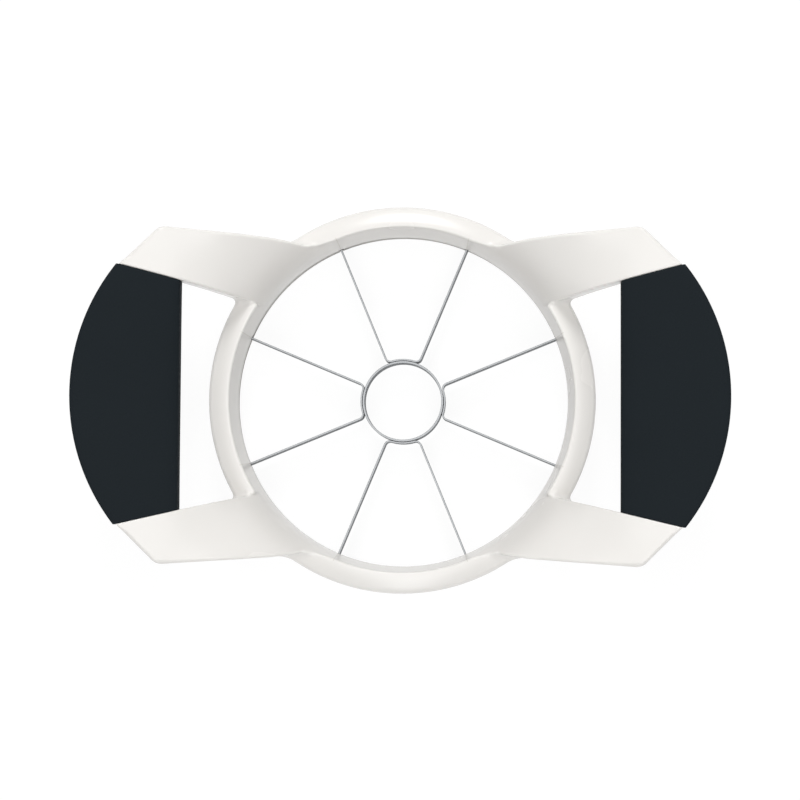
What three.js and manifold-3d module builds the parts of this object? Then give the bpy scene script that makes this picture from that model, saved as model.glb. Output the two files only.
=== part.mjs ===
import * as THREE from 'three';
import { mergeVertices } from 'three/addons/utils/BufferGeometryUtils.js';
import Module from 'manifold-3d';

// A rigid hand press that pushes eight blades and a core ring down through a round fruit.
// Millimetres, +Z up. The origin lies on the board, under the middle of the ring, and the
// two hand grips lie along X.

const wasm = await Module();
wasm.setup();

// Clearances
const seatGap = 0.3; // between two pieces that rest against each other
const fitGap = 0.2; // round a piece that is pressed or moulded into another
const weldGap = 0.1; // between the core ring and the strips that are spot-welded to it
const overrun = 6; // how far a cutting body runs past what it cuts

// Round ring of the frame, with a channel that opens downwards
const lipRadius = 47.7; // narrowest place of the throat
const lipHeight = 10;
const wallLean = 1.7; // the throat is this much wider at the crest than at the lip
const footLean = 1; // and this much wider at its foot
const crestHeight = 22; // crest: the inner edge of the sloping top face
const crestRound = 0.6;
const faceWidth = 6.1; // from the crest out to the rim
const faceCrown = 0.5; // bulge of the top face over its straight chord
const rimDrop = 2.6; // the rim lies this far below the crest
const rimRound = 1.1;
const ringDraft = 0.4; // the outer wall is this much smaller at its foot
const ringInnerWall = 1.6;
const ringRoof = 2.2;
const ringFacets = 64; // four facets between a blade and the middle of its wedge

// Ring that closes the channel from below and clamps the blade tabs
const clampFlange = 1.2;
const clampWall = 1.2;
const clampDrop = 1; // its top below the lip

// Blades: four bent strips, each with two legs and an arc against the core ring
const bladeThickness = 0.5;
const bladeSink = 0.2; // top edge of a blade below the lip
const bladeBevel = 1.6; // height of the sharpened lower edge
const cuttingEdge = 0.1; // thickness left at the sharpened edge
const stripCount = 4;
const bladeCount = 2 * stripCount;
const coreBendRadius = 1.6; // where a leg meets the core ring
const tabBendRadius = 0.8; // where a leg turns into its tab
const tabLength = 4;
const tabClearance = 0.4; // between a tab and the wall of the channel
const slotClearance = 0.3; // round a leg in its slot

// Core ring
const coreOuterRadius = 11.75;
const coreThickness = 0.6;
const coreProud = 0.3; // core ring beyond the blades, above and below
const coreFacets = 48;

// Arms: seen from above, each lies between a low edge, a high edge and a slanted end.
// Points are in the quarter where x and y are positive; the other arms mirror it.
const armRootStep = 1.1; // an arm's outline starts this far outside the crest
const armLowRootAngle = 33;
const armHighRootAngle = 59.2;
const armHighRimAngle = 54.1; // where the high edge crosses the rim of the ring
const armTipReach = 22.5; // end of the low edge, beside the grip, past the rim
const armTipY = 36.1;
const armEndWidth = 11.1; // from the low edge's end to the high edge's end, along y
const armEndSlant = 10.9; // and back towards the ring, along x
const armCornerRound = 1.5;
const armHollowRound = 0.8; // the same corner inside the arm's hollow
const armRootDepth = 15;
const armDepth = 10;
const armDepthReach = 14.5; // past the rim, where an arm has thinned to its outer depth
const armFloorRise = 2; // underside of the arms' roots above the lip
const armRoof = 2.4;
const armWall = 2.2;
const armRib = 1.6;

// Ramp: the surface that rises from the throat over the arms to the grips. It is a parabola
// from a start, towards a bend and to an end, each given by how far out and how high.
const rampStartStep = 1; // start past the lip
const rampStartDrop = 3.8; // start below the crest
const rampBendRun = 11.8; // from the start out to the bend
const rampBendRise = 22.5;
const rampEndRun = 39.5; // from the bend out to the end
const rampEndRise = 4.9;
// Near the ring the ramp follows circles; past the arms' roots it follows straight lines.
const turnInset = 2.7; // the change starts this far inside the lip's radius
const turnLength = 20; // and takes this much, along x
const lineInset = 10.2; // the straight count starts this far inside the lip's radius
const lineStep = 4.6; // where it stands for a reach this far past the lip
const lineReachShare = 0.89; // gain in reach for each step outwards in x

// Hand grips and the bars that they are moulded round
const fingerGap = 6; // between the rim and a grip
const gripWidth = 29.6;
const gripTipProud = 0.8; // a grip's tips past the arms' tips
const gripThickness = 12;
const gripSkin = 2.4;
const gripEdgeDrop = 2.5; // a grip is widest this far below its top face
const barInnerInset = 3.4;
const barOuterInset = 4.8;
const barReach = 1.6; // how far a bar runs on into the arms
// Fullness of a grip's section: 2 gives an ellipse, more gives a flatter face and tighter edges
const gripTopPower = 8;
const gripUnderPower = 3.2;

// Grids of the curved surfaces
const rampRows = 10;
const rampRowPower = 1.8; // packs the rows towards the ring, where the ramp is steep
const rampFirstFacet = 3; // the ramp's columns follow these facets of the ring
const rampLastFacet = 12;
const gripRows = 12;
const gripColumns = 10;
const filletSteps = 3;
const bendSteps = 2;

// Sizes that follow from the ones above
const degree = Math.PI / 180;
const footRadius = lipRadius + footLean;
const crestRadius = lipRadius + wallLean;
const rimRadius = crestRadius + faceWidth;
const rimHeight = crestHeight - rimDrop;
const bladeBottom = clampFlange + seatGap;
const bladeTop = lipHeight - bladeSink;
const channelFootRadius = footRadius + ringInnerWall;
const channelTopRadius = crestRadius + ringInnerWall;
const tabRadius = channelFootRadius + tabClearance + bladeThickness / 2;
const clampInnerRadius = tabRadius + bladeThickness / 2 + fitGap;
const clampOuterRadius = clampInnerRadius + clampWall;
const clampTop = lipHeight - clampDrop;
const channelOuterRadius = clampOuterRadius + fitGap;
const stripArcRadius = coreOuterRadius + weldGap + bladeThickness / 2;
const bladeAngle = Math.PI / bladeCount;
const armRootRadius = crestRadius + armRootStep;
const armRootX = armRootRadius * Math.cos(armHighRootAngle * degree);
const armTipX = rimRadius + armTipReach;
const armCornerX = armTipX - armEndSlant;
const armCornerY = armTipY + armEndWidth;
const armDepthX = rimRadius + armDepthReach;
const armFloor = lipHeight + armFloorRise;
const rampStartReach = lipRadius + rampStartStep;
const rampStartHeight = crestHeight - rampStartDrop;
const rampBendReach = rampStartReach + rampBendRun;
const rampBendHeight = rampStartHeight + rampBendRise;
const rampEndReach = rampBendReach + rampEndRun;
const rampEndHeight = rampBendHeight + rampEndRise;
const turnStartX = lipRadius - turnInset;
const lineStartX = lipRadius - lineInset;
const lineStartReach = lipRadius + lineStep;
const rampEndX = lineStartX + (rampEndReach - lineStartReach) / lineReachShare;
const gripInnerX = rimRadius + fingerGap;
const gripOuterX = gripInnerX + gripWidth;
const gripTipX = armTipX + gripTipProud;

// Materials

function plastic(color, roughness) {
  return new THREE.MeshStandardMaterial({ color, roughness, metalness: 0 });
}

function steel() {
  return new THREE.MeshStandardMaterial({ color: 0xb4b6b8, roughness: 0.3, metalness: 1 });
}

// Solids

// Turns a closed triangle mesh into a solid for joining and cutting.
function solid(geometry) {
  const bare = new THREE.BufferGeometry();
  bare.setAttribute('position', geometry.getAttribute('position').clone());
  bare.setIndex(geometry.getIndex());
  const merged = mergeVertices(bare);
  const points = merged.getAttribute('position').array;
  const corners = merged.getIndex().array;
  const kept = [];
  for (let i = 0; i < corners.length; i += 3) {
    const [a, b, c] = [corners[i], corners[i + 1], corners[i + 2]];
    if (a !== b && b !== c && c !== a) kept.push(a, b, c);
  }
  if (signedVolume(points, kept) < 0) kept.reverse();
  const mesh = new wasm.Mesh({
    numProp: 3,
    vertProperties: new Float32Array(points),
    triVerts: new Uint32Array(kept),
  });
  return new wasm.Manifold(mesh);
}

function signedVolume(points, corners) {
  const a = new THREE.Vector3();
  const b = new THREE.Vector3();
  const c = new THREE.Vector3();
  let volume = 0;
  for (let i = 0; i < corners.length; i += 3) {
    a.fromArray(points, 3 * corners[i]);
    b.fromArray(points, 3 * corners[i + 1]);
    c.fromArray(points, 3 * corners[i + 2]);
    volume += a.dot(b.cross(c));
  }
  return volume;
}

function meshOf(name, body, material) {
  const result = body.getMesh();
  const geometry = new THREE.BufferGeometry();
  geometry.setAttribute('position', new THREE.BufferAttribute(result.vertProperties, 3));
  geometry.setIndex(new THREE.BufferAttribute(result.triVerts, 1));
  geometry.computeVertexNormals();
  const mesh = new THREE.Mesh(geometry, material);
  mesh.name = name;
  return mesh;
}

// Round body from a closed half section of (radius, height) points.
function turned(section, facets) {
  const geometry = new THREE.LatheGeometry([...section, section[0]], facets);
  geometry.rotateX(Math.PI / 2);
  return solid(geometry);
}

// Closed body between two surfaces, each an equal grid of points.
function between(upper, lower) {
  const rows = upper.length;
  const columns = upper[0].length;
  const positions = [];
  const indices = [];
  for (const grid of [upper, lower]) {
    for (const row of grid) {
      for (const point of row) positions.push(point.x, point.y, point.z);
    }
  }
  const at = (side, row, column) => (side * rows + row) * columns + column;
  const quad = (a, b, c, d) => indices.push(a, b, c, a, c, d);
  const lastRow = rows - 1;
  const lastColumn = columns - 1;
  for (let i = 0; i < lastRow; i++) {
    for (let j = 0; j < lastColumn; j++) {
      quad(at(0, i, j), at(0, i + 1, j), at(0, i + 1, j + 1), at(0, i, j + 1));
      quad(at(1, i, j), at(1, i, j + 1), at(1, i + 1, j + 1), at(1, i + 1, j));
    }
    quad(at(1, i, 0), at(1, i + 1, 0), at(0, i + 1, 0), at(0, i, 0));
    quad(at(0, i, lastColumn), at(0, i + 1, lastColumn), at(1, i + 1, lastColumn), at(1, i, lastColumn));
  }
  for (let j = 0; j < lastColumn; j++) {
    quad(at(0, 0, j), at(0, 0, j + 1), at(1, 0, j + 1), at(1, 0, j));
    quad(at(1, lastRow, j), at(1, lastRow, j + 1), at(0, lastRow, j + 1), at(0, lastRow, j));
  }
  const geometry = new THREE.BufferGeometry();
  geometry.setAttribute('position', new THREE.Float32BufferAttribute(positions, 3));
  geometry.setIndex(indices);
  return solid(geometry);
}

// Straight-sided body over a plan outline, from one height to another.
function prism(outline, bottom, top) {
  const geometry = new THREE.ExtrudeGeometry(outline, {
    depth: top - bottom,
    bevelEnabled: false,
    curveSegments: filletSteps,
  });
  geometry.translate(0, 0, bottom);
  return solid(geometry);
}

// The ramp

// How far out a place is, as the ramp counts it.
function reachAt(x, y) {
  const across = Math.abs(x);
  const turn = THREE.MathUtils.smoothstep(across, turnStartX, turnStartX + turnLength);
  const along = lineStartReach + lineReachShare * (across - lineStartX);
  return THREE.MathUtils.lerp(Math.hypot(x, y), along, turn);
}

function rampHeight(x, y) {
  const reach = reachAt(x, y);
  const square = rampStartReach - 2 * rampBendReach + rampEndReach;
  const slope = 2 * (rampBendReach - rampStartReach);
  const rest = rampStartReach - reach;
  const root = Math.sqrt(Math.max(slope * slope - 4 * square * rest, 0));
  const t = (root - slope) / (2 * square);
  return rampStartHeight * (1 - t) ** 2 + 2 * rampBendHeight * t * (1 - t) + rampEndHeight * t ** 2;
}

// Points of the ramp over one arm, moved down by what a rule gives for each place.
function rampGrid(heightOf) {
  const grid = [];
  const innerRadius = lipRadius - seatGap;
  for (let i = 0; i <= rampRows; i++) {
    const radius = THREE.MathUtils.lerp(innerRadius, rampEndX, (i / rampRows) ** rampRowPower);
    const row = [];
    for (let facet = rampFirstFacet; facet <= rampLastFacet; facet++) {
      const angle = (2 * Math.PI * facet) / ringFacets;
      const x = radius * Math.cos(angle);
      const y = radius * Math.sin(angle);
      row.push(new THREE.Vector3(x, y, heightOf(x, y)));
    }
    grid.push(row);
  }
  return grid;
}

// Frame

// Closed half section of the ring, round from the foot of the throat wall and back.
function ringSection() {
  const lip = new THREE.Vector2(lipRadius, lipHeight);
  const crest = new THREE.Vector2(crestRadius, crestHeight);
  const rim = new THREE.Vector2(rimRadius, rimHeight);
  const upWall = crest.clone().sub(lip).normalize();
  const downFace = rim.clone().sub(crest).normalize();
  const wallEnd = crest.clone().addScaledVector(upWall, -crestRound);
  const faceStart = crest.clone().addScaledVector(downFace, crestRound);
  const faceEnd = rim.clone().addScaledVector(downFace, -rimRound);
  const faceMiddle = crest.clone().lerp(rim, 0.5);
  const path = new THREE.Path();
  path.moveTo(footRadius, bladeBottom);
  path.lineTo(lip.x, lip.y);
  path.lineTo(wallEnd.x, wallEnd.y);
  path.quadraticCurveTo(crest.x, crest.y, faceStart.x, faceStart.y);
  path.quadraticCurveTo(faceMiddle.x, faceMiddle.y + 2 * faceCrown, faceEnd.x, faceEnd.y);
  path.quadraticCurveTo(rim.x, rim.y, rim.x, rim.y - rimRound);
  path.lineTo(rimRadius - ringDraft, 0);
  path.lineTo(channelOuterRadius, 0);
  path.lineTo(channelOuterRadius + ringDraft, rimHeight - ringRoof);
  path.lineTo(channelTopRadius, crestHeight - ringRoof);
  path.lineTo(channelFootRadius, bladeBottom);
  return path.getPoints(filletSteps);
}

function polar(radius, degrees) {
  return new THREE.Vector2(radius * Math.cos(degrees * degree), radius * Math.sin(degrees * degree));
}

// Straight edge of an arm, moved sideways into the arm by an inset.
function movedEdge(from, to, inset) {
  const along = to.clone().sub(from).normalize();
  const inwards = new THREE.Vector2(-along.y, along.x).multiplyScalar(inset);
  return { from: from.clone().add(inwards), along };
}

function crossing(one, other) {
  const gap = other.from.clone().sub(one.from);
  const share = gap.cross(other.along) / one.along.cross(other.along);
  return one.from.clone().addScaledVector(one.along, share);
}

function pointAtRadius(edge, radius) {
  const middle = edge.from.dot(edge.along);
  const offset = edge.from.cross(edge.along);
  return edge.from.clone().addScaledVector(edge.along, Math.sqrt(radius ** 2 - offset ** 2) - middle);
}

function armEdges(inset) {
  const lowRoot = polar(armRootRadius, armLowRootAngle);
  const highRim = polar(rimRadius, armHighRimAngle);
  const tip = new THREE.Vector2(armTipX, armTipY);
  const corner = new THREE.Vector2(armCornerX, armCornerY);
  return {
    low: movedEdge(lowRoot, tip, inset),
    end: movedEdge(tip, corner, inset),
    high: movedEdge(highRim, corner, -inset),
  };
}

// Plan outline of an arm outside the ring, made smaller all round by an inset. With a root
// it also runs on over the ring's top face to the crest.
function armOutline(inset, withRoot) {
  const { low, end, high } = armEdges(inset);
  const tip = crossing(low, end);
  const corner = crossing(high, end);
  const rootRadius = withRoot ? armRootRadius : rimRadius;
  const lowRoot = pointAtRadius(low, rootRadius);
  const highRim = pointAtRadius(high, rimRadius);
  const highRoot = withRoot ? polar(rootRadius, armHighRootAngle) : highRim;
  const round = inset > 0 ? armHollowRound : armCornerRound;
  const outline = new THREE.Shape();
  outline.moveTo(lowRoot.x, lowRoot.y);
  outline.lineTo(tip.x, tip.y);
  outline.lineTo(corner.x - round * end.along.x, corner.y - round * end.along.y);
  outline.quadraticCurveTo(
    corner.x, corner.y,
    corner.x - round * high.along.x, corner.y - round * high.along.y,
  );
  outline.lineTo(highRim.x, highRim.y);
  outline.lineTo(highRoot.x, highRoot.y);
  outline.absarc(0, 0, rootRadius, highRoot.angle(), lowRoot.angle(), true);
  return outline;
}

// Part of the throat wall and crest that the ramp opens, above the ramp.
function funnelCut() {
  const { low } = armEdges(0);
  const highRoot = polar(armRootRadius, armHighRootAngle);
  const highRim = polar(rimRadius, armHighRimAngle);
  const highAlong = highRim.clone().sub(highRoot).normalize();
  const outline = new THREE.Shape([
    low.from.clone().addScaledVector(low.along, -overrun),
    low.from.clone().addScaledVector(low.along, overrun),
    highRoot.clone().addScaledVector(highAlong, overrun),
    highRoot.clone().addScaledVector(highAlong, -overrun),
  ]);
  const above = between(rampGrid((x, y) => rampHeight(x, y) + crestHeight), rampGrid(rampHeight));
  return above.intersect(prism(outline, lipHeight, 2 * crestHeight));
}

// Underside of an arm: deep at the ring, thinner towards the grip.
function armUnderside(x, y) {
  const thinned = THREE.MathUtils.smoothstep(Math.abs(x), armRootX, armDepthX);
  const depth = THREE.MathUtils.lerp(armRootDepth, armDepth, thinned);
  return Math.max(rampHeight(x, y) - depth, armFloor);
}

// Two hollows under an arm, with a rib between them.
function armHollow() {
  const { low, high } = armEdges(0);
  const root = low.from.clone().lerp(high.from, 0.5);
  const along = low.along.clone().add(high.along).normalize();
  const side = new THREE.Vector2(-along.y, along.x).multiplyScalar(armRib / 2);
  const far = root.clone().addScaledVector(along, armTipX);
  const rib = new THREE.Shape([
    root.clone().sub(side),
    far.clone().sub(side),
    far.clone().add(side),
    root.clone().add(side),
  ]);
  const hollow = prism(armOutline(armWall, false), 0, 2 * crestHeight)
    .subtract(prism(rib, 0, 2 * crestHeight));
  const roof = rampGrid((x, y) => rampHeight(x, y) - armRoof);
  const below = rampGrid((x, y) => armUnderside(x, y) - overrun);
  return hollow.intersect(between(roof, below));
}

function armBody() {
  const outline = prism(armOutline(0, true), 0, 2 * crestHeight);
  return outline.intersect(between(rampGrid(rampHeight), rampGrid(armUnderside)));
}

// Slot for one leg of a blade strip, open at the foot of the wall.
function bladeSlot(angle) {
  const half = bladeThickness / 2 + slotClearance;
  const near = lipRadius - overrun;
  const far = clampInnerRadius;
  const outline = new THREE.Shape([
    new THREE.Vector2(near, -half),
    new THREE.Vector2(far, -half),
    new THREE.Vector2(far, half),
    new THREE.Vector2(near, half),
  ]);
  return prism(outline, 0, bladeTop + slotClearance).rotate([0, 0, angle / degree]);
}

function mirrored(body, x, y) {
  const flipX = x < 0 ? body.mirror([1, 0, 0]) : body;
  return y < 0 ? flipX.mirror([0, 1, 0]) : flipX;
}

function frameMoulding() {
  let frame = turned(ringSection(), ringFacets);
  const cut = funnelCut();
  const arm = armBody();
  const hollow = armHollow();
  for (const x of [1, -1]) {
    for (const y of [1, -1]) {
      frame = frame.subtract(mirrored(cut, x, y)).add(mirrored(arm.subtract(hollow), x, y));
    }
    frame = frame.add(mirrored(handleBar(0), x, 1));
  }
  for (let i = 0; i < bladeCount; i++) {
    frame = frame.subtract(bladeSlot((2 * i + 1) * bladeAngle));
  }
  return meshOf('frame_moulding', frame, plastic(0xf2f2ef, 0.35));
}

// Grips and bars

// Places a point across (0 inner edge, 1 outer edge) and along (-1 and 1 at the arms) a grip.
function gripPlace(across, along) {
  const { low } = armEdges(0);
  const edgeY = (x) => low.from.y + (low.along.y / low.along.x) * (x - low.from.x) - seatGap / low.along.x;
  const tipY = edgeY(gripTipX);
  const rise = gripOuterX - gripTipX;
  const arcRadius = (tipY ** 2 + rise ** 2) / (2 * rise);
  const arcX = gripOuterX - arcRadius + Math.sqrt(arcRadius ** 2 - (along * tipY) ** 2);
  const bow = (gripOuterX - arcX) / rise;
  const endX = THREE.MathUtils.lerp(gripInnerX, gripTipX, across);
  const middleX = THREE.MathUtils.lerp(gripInnerX, gripOuterX, across);
  return new THREE.Vector2(THREE.MathUtils.lerp(middleX, endX, bow), along * edgeY(endX));
}

// Rounded body along a grip, between two shares of its width, with the depths of its upper and
// lower face below the ramp, running on past both ends of the grip by a share of its length.
function gripBody(startShare, endShare, depths, extraShare) {
  const upper = [];
  const lower = [];
  const stations = Array.from({ length: gripRows + 1 }, (_, i) => (2 * i) / gripRows - 1);
  if (extraShare > 0) stations.unshift(-1 - extraShare);
  if (extraShare > 0) stations.push(1 + extraShare);
  for (const along of stations) {
    const above = [];
    const below = [];
    for (let j = 0; j <= gripColumns; j++) {
      const turn = (1 - Math.cos((Math.PI * j) / gripColumns)) / 2;
      const across = THREE.MathUtils.lerp(startShare, endShare, turn);
      const place = gripPlace(across, along);
      const top = rampHeight(place.x, place.y);
      const [upperDepth, lowerDepth] = depths(turn);
      above.push(new THREE.Vector3(place.x, place.y, top - upperDepth));
      below.push(new THREE.Vector3(place.x, place.y, top - lowerDepth));
    }
    upper.push(above);
    lower.push(below);
  }
  return between(upper, lower);
}

// Bar of the frame that a grip is moulded round, or its bore when grown by a gap.
function handleBar(gap) {
  const width = gripOuterX - gripInnerX;
  const start = (barInnerInset - gap) / width;
  const end = 1 - (barOuterInset - gap) / width;
  const depths = [gripSkin - gap, gripThickness - gripSkin + gap];
  const extra = (gap > 0 ? overrun : barReach) / armTipY;
  return gripBody(start, end, () => depths, extra);
}

function grip(name, side) {
  const fullness = (turn, power) => (1 - Math.abs(2 * turn - 1) ** power) ** (1 / power);
  const section = (turn) => [
    gripEdgeDrop * (1 - fullness(turn, gripTopPower)),
    gripEdgeDrop + (gripThickness - gripEdgeDrop) * fullness(turn, gripUnderPower),
  ];
  const body = gripBody(0, 1, section, 0).subtract(handleBar(fitGap));
  return meshOf(name, mirrored(body, side, 1), plastic(0x262a2e, 0.85));
}

// Clamp ring

function clampRing() {
  const section = [
    new THREE.Vector2(footRadius, 0),
    new THREE.Vector2(clampOuterRadius, 0),
    new THREE.Vector2(clampOuterRadius, clampTop),
    new THREE.Vector2(clampInnerRadius, clampTop),
    new THREE.Vector2(clampInnerRadius, clampFlange),
    new THREE.Vector2(footRadius, clampFlange),
  ];
  return meshOf('blade_clamp_ring', turned(section, ringFacets), plastic(0xf0f0ed, 0.4));
}

// Blades and core ring

// Plan line of half a strip, from the middle of its arc to the end of its tab.
function halfStripLine() {
  const coreTurn = Math.asin(coreBendRadius / (stripArcRadius + coreBendRadius));
  const tabTurn = Math.asin(tabBendRadius / (tabRadius - tabBendRadius));
  const arcEnd = bladeAngle - coreTurn;
  const tabStart = bladeAngle - tabTurn;
  const tabEnd = tabStart - tabLength / tabRadius;
  const square = bladeAngle + Math.PI / 2;
  const coreCentre = polar(stripArcRadius + coreBendRadius, arcEnd / degree);
  const tabCentre = polar(tabRadius - tabBendRadius, tabStart / degree);
  const path = new THREE.Path();
  path.absarc(0, 0, stripArcRadius, 0, arcEnd, false);
  path.absarc(coreCentre.x, coreCentre.y, coreBendRadius, arcEnd + Math.PI, square, true);
  path.absarc(tabCentre.x, tabCentre.y, tabBendRadius, square, tabStart, true);
  path.absarc(0, 0, tabRadius, tabStart, tabEnd, true);
  return path.getPoints(bendSteps);
}

function stripLine() {
  const half = halfStripLine();
  const other = half.slice(1).reverse().map((point) => new THREE.Vector2(point.x, -point.y));
  return [...other, ...half];
}

// Bent strip stood on its sharpened edge, as a loft of one upright section along its line.
function bladeStrip(name, angle) {
  const line = stripLine();
  const thick = bladeThickness / 2;
  const thin = cuttingEdge / 2;
  const section = [
    [thin, bladeBottom],
    [thick, bladeBottom + bladeBevel],
    [thick, bladeTop],
    [-thick, bladeTop],
    [-thick, bladeBottom + bladeBevel],
    [-thin, bladeBottom],
  ];
  const loops = line.map((point, i) => {
    const before = line[Math.max(i - 1, 0)];
    const after = line[Math.min(i + 1, line.length - 1)];
    const along = after.clone().sub(before).normalize();
    return section.map(([offset, height]) =>
      new THREE.Vector3(point.x - offset * along.y, point.y + offset * along.x, height));
  });
  const body = solid(loft(loops)).rotate([0, 0, angle / degree]);
  return meshOf(name, body, steel());
}

// Closed skin through equal loops of points, with a flat fan over each end.
function loft(loops) {
  const size = loops[0].length;
  const positions = loops.flat().flatMap((point) => point.toArray());
  const indices = [];
  for (let i = 0; i < loops.length - 1; i++) {
    for (let j = 0; j < size; j++) {
      const a = i * size + j;
      const b = i * size + ((j + 1) % size);
      indices.push(a, b, b + size, a, b + size, a + size);
    }
  }
  const last = (loops.length - 1) * size;
  for (let j = 1; j < size - 1; j++) {
    indices.push(0, j + 1, j);
    indices.push(last, last + j, last + j + 1);
  }
  const geometry = new THREE.BufferGeometry();
  geometry.setAttribute('position', new THREE.Float32BufferAttribute(positions, 3));
  geometry.setIndex(indices);
  return geometry;
}

function coreRing() {
  const inner = coreOuterRadius - coreThickness;
  const bottom = bladeBottom - coreProud;
  const top = bladeTop + coreProud;
  const section = [
    new THREE.Vector2(coreOuterRadius, bottom),
    new THREE.Vector2(coreOuterRadius, top),
    new THREE.Vector2(inner, top),
    new THREE.Vector2(inner, bottom + bladeBevel),
    new THREE.Vector2(coreOuterRadius - cuttingEdge, bottom),
  ];
  return meshOf('core_ring', turned(section, coreFacets), steel());
}

const wedger = new THREE.Group();
wedger.add(frameMoulding());
wedger.add(clampRing());
wedger.add(coreRing());
for (const [index, place] of ['right', 'rear', 'left', 'front'].entries()) {
  wedger.add(bladeStrip(`blade_strip_${place}`, (index * 2 * Math.PI) / stripCount));
}
wedger.add(grip('grip_right', 1));
wedger.add(grip('grip_left', -1));

export default wedger;
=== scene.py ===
import logging
import math
from abc import ABC, abstractmethod
from collections.abc import Callable, Mapping, Sequence
from dataclasses import dataclass, field
from enum import Enum

import bmesh
import bpy
import numpy as np
from mathutils import Matrix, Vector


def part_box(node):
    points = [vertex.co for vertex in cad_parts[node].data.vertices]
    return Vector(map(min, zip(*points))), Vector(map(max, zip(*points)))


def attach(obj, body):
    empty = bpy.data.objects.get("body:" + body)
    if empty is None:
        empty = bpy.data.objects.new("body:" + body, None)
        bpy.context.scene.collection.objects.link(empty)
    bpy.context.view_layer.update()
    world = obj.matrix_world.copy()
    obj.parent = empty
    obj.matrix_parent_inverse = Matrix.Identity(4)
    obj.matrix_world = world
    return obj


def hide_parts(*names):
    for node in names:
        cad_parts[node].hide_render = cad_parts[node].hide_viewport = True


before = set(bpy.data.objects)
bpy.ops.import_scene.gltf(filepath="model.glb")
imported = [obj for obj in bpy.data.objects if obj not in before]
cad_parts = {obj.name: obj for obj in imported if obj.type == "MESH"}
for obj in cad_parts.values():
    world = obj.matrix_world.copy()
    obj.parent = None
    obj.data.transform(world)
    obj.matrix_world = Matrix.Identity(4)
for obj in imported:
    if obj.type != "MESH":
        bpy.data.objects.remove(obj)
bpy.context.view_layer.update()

# Looks of a hand-pushed fruit wedger: a white moulded ring with four raised arms, two dark
# soft grips, eight thin blades and a core ring. Lengths are in metres. The origin lies on the
# board under the middle of the ring, +Z is up and the grips lie along X.

MM = 0.001
BODY = "root"
PHOTO_SIDE_PX = 800
# Keeps divisions away from zero, and is far below any size here.
TINY = 1e-9

Array = np.ndarray
Point = tuple[float, float]
Triple = tuple[float, float, float]
Socket = bpy.types.NodeSocket
log = logging.getLogger("wedger")


class Slot(Enum):
    """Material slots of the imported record."""

    FRAME = "frame_plastic"
    CLAMP = "clamp_plastic"
    STEEL = "blade_steel"
    GRIP = "grip_rubber"


# Small tools for colours and nodes


def linear_colour(code: str) -> tuple[float, float, float, float]:
    """Turns an sRGB hex colour into the linear colour that a shader socket takes.

    Args:
        code: The colour as "#rrggbb".

    Returns:
        Linear red, green and blue, and an alpha of 1.
    """
    channels = [int(code[i : i + 2], 16) / 255 for i in (1, 3, 5)]
    linear = [c / 12.92 if c <= 0.04045 else ((c + 0.055) / 1.055) ** 2.4 for c in channels]
    return (linear[0], linear[1], linear[2], 1.0)


def add_node(
    tree: bpy.types.NodeTree,
    kind: str,
    inputs: Mapping[str | int, object] | None = None,
    **settings: object,
) -> bpy.types.Node:
    """Adds a node, sets it up and fills its inputs.

    Args:
        tree: The node tree that gets the node.
        kind: The node's type name, such as "ShaderNodeBump".
        inputs: For each input, by name or number, a value or the output socket to link to it.
        **settings: Properties of the node, such as operation="MULTIPLY".

    Returns:
        The new node.
    """
    node = tree.nodes.new(kind)
    for name, value in settings.items():
        setattr(node, name, value)
    for key, value in (inputs or {}).items():
        if isinstance(value, Socket):
            tree.links.new(value, node.inputs[key])
        else:
            node.inputs[key].default_value = value
    return node


def pattern_scale(size: float) -> float:
    """Scale of a texture node whose cells are to have a real size, on coordinates in metres."""
    return 1 / size


# Distance fields: each gives, for points, how far they lie outside a shape, and less than
# zero inside it. They are joined with the fillets of the real mouldings and then skinned.


def side_of(u: Array, v: Array, start: Point, end: Point) -> Array:
    """Distance from the line through two points.

    Args:
        u: First coordinates of the places asked for.
        v: Second coordinates.
        start: A point of the line.
        end: A later point of the line.

    Returns:
        The distances, above zero on the left of the way from start to end.
    """
    du, dv = end[0] - start[0], end[1] - start[1]
    return (du * (v - start[1]) - dv * (u - start[0])) / math.hypot(du, dv)


def inside_both(a: Array, b: Array, radius: float | Array) -> Array:
    """Field of what lies inside two shapes, with the edge between them rounded."""
    beyond = np.hypot(np.maximum(a + radius, 0), np.maximum(b + radius, 0))
    return np.minimum(np.maximum(a, b), -radius) + beyond


def joined(a: Array, b: Array, radius: float | Array) -> Array:
    """Field of two shapes together, with a fillet in the corner between them."""
    within = np.hypot(np.maximum(radius - a, 0), np.maximum(radius - b, 0))
    return np.maximum(np.minimum(a, b), radius) - within


def inside_both_nearly_in_line(a: Array, b: Array, reach: float | Array) -> Array:
    """Field of what lies inside two planes that meet at a small angle, as one soft bend."""
    near = np.maximum(reach - np.abs(a - b), 0) / np.maximum(reach, TINY)
    return np.maximum(a, b) + near**2 * reach / 4


def smooth_step(value: Array, low: float, high: float) -> Array:
    """0 below low, 1 above high, and a soft change between them."""
    share = np.clip((value - low) / (high - low), 0, 1)
    return share * share * (3 - 2 * share)


def mesh_of(name: str, vertices: Array, faces: Array | Sequence[Sequence[int]]) -> bpy.types.Mesh:
    """Makes a mesh from rows of points and faces of point numbers.

    Args:
        name: The mesh's name.
        vertices: Rows of x, y and z.
        faces: For each face, the numbers of its points in turn.

    Returns:
        The mesh, which is in no object yet.
    """
    mesh = bpy.data.meshes.new(name)
    rows = faces.tolist() if isinstance(faces, np.ndarray) else faces
    mesh.from_pydata(vertices.tolist(), [], rows)
    mesh.validate()
    return mesh


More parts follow.
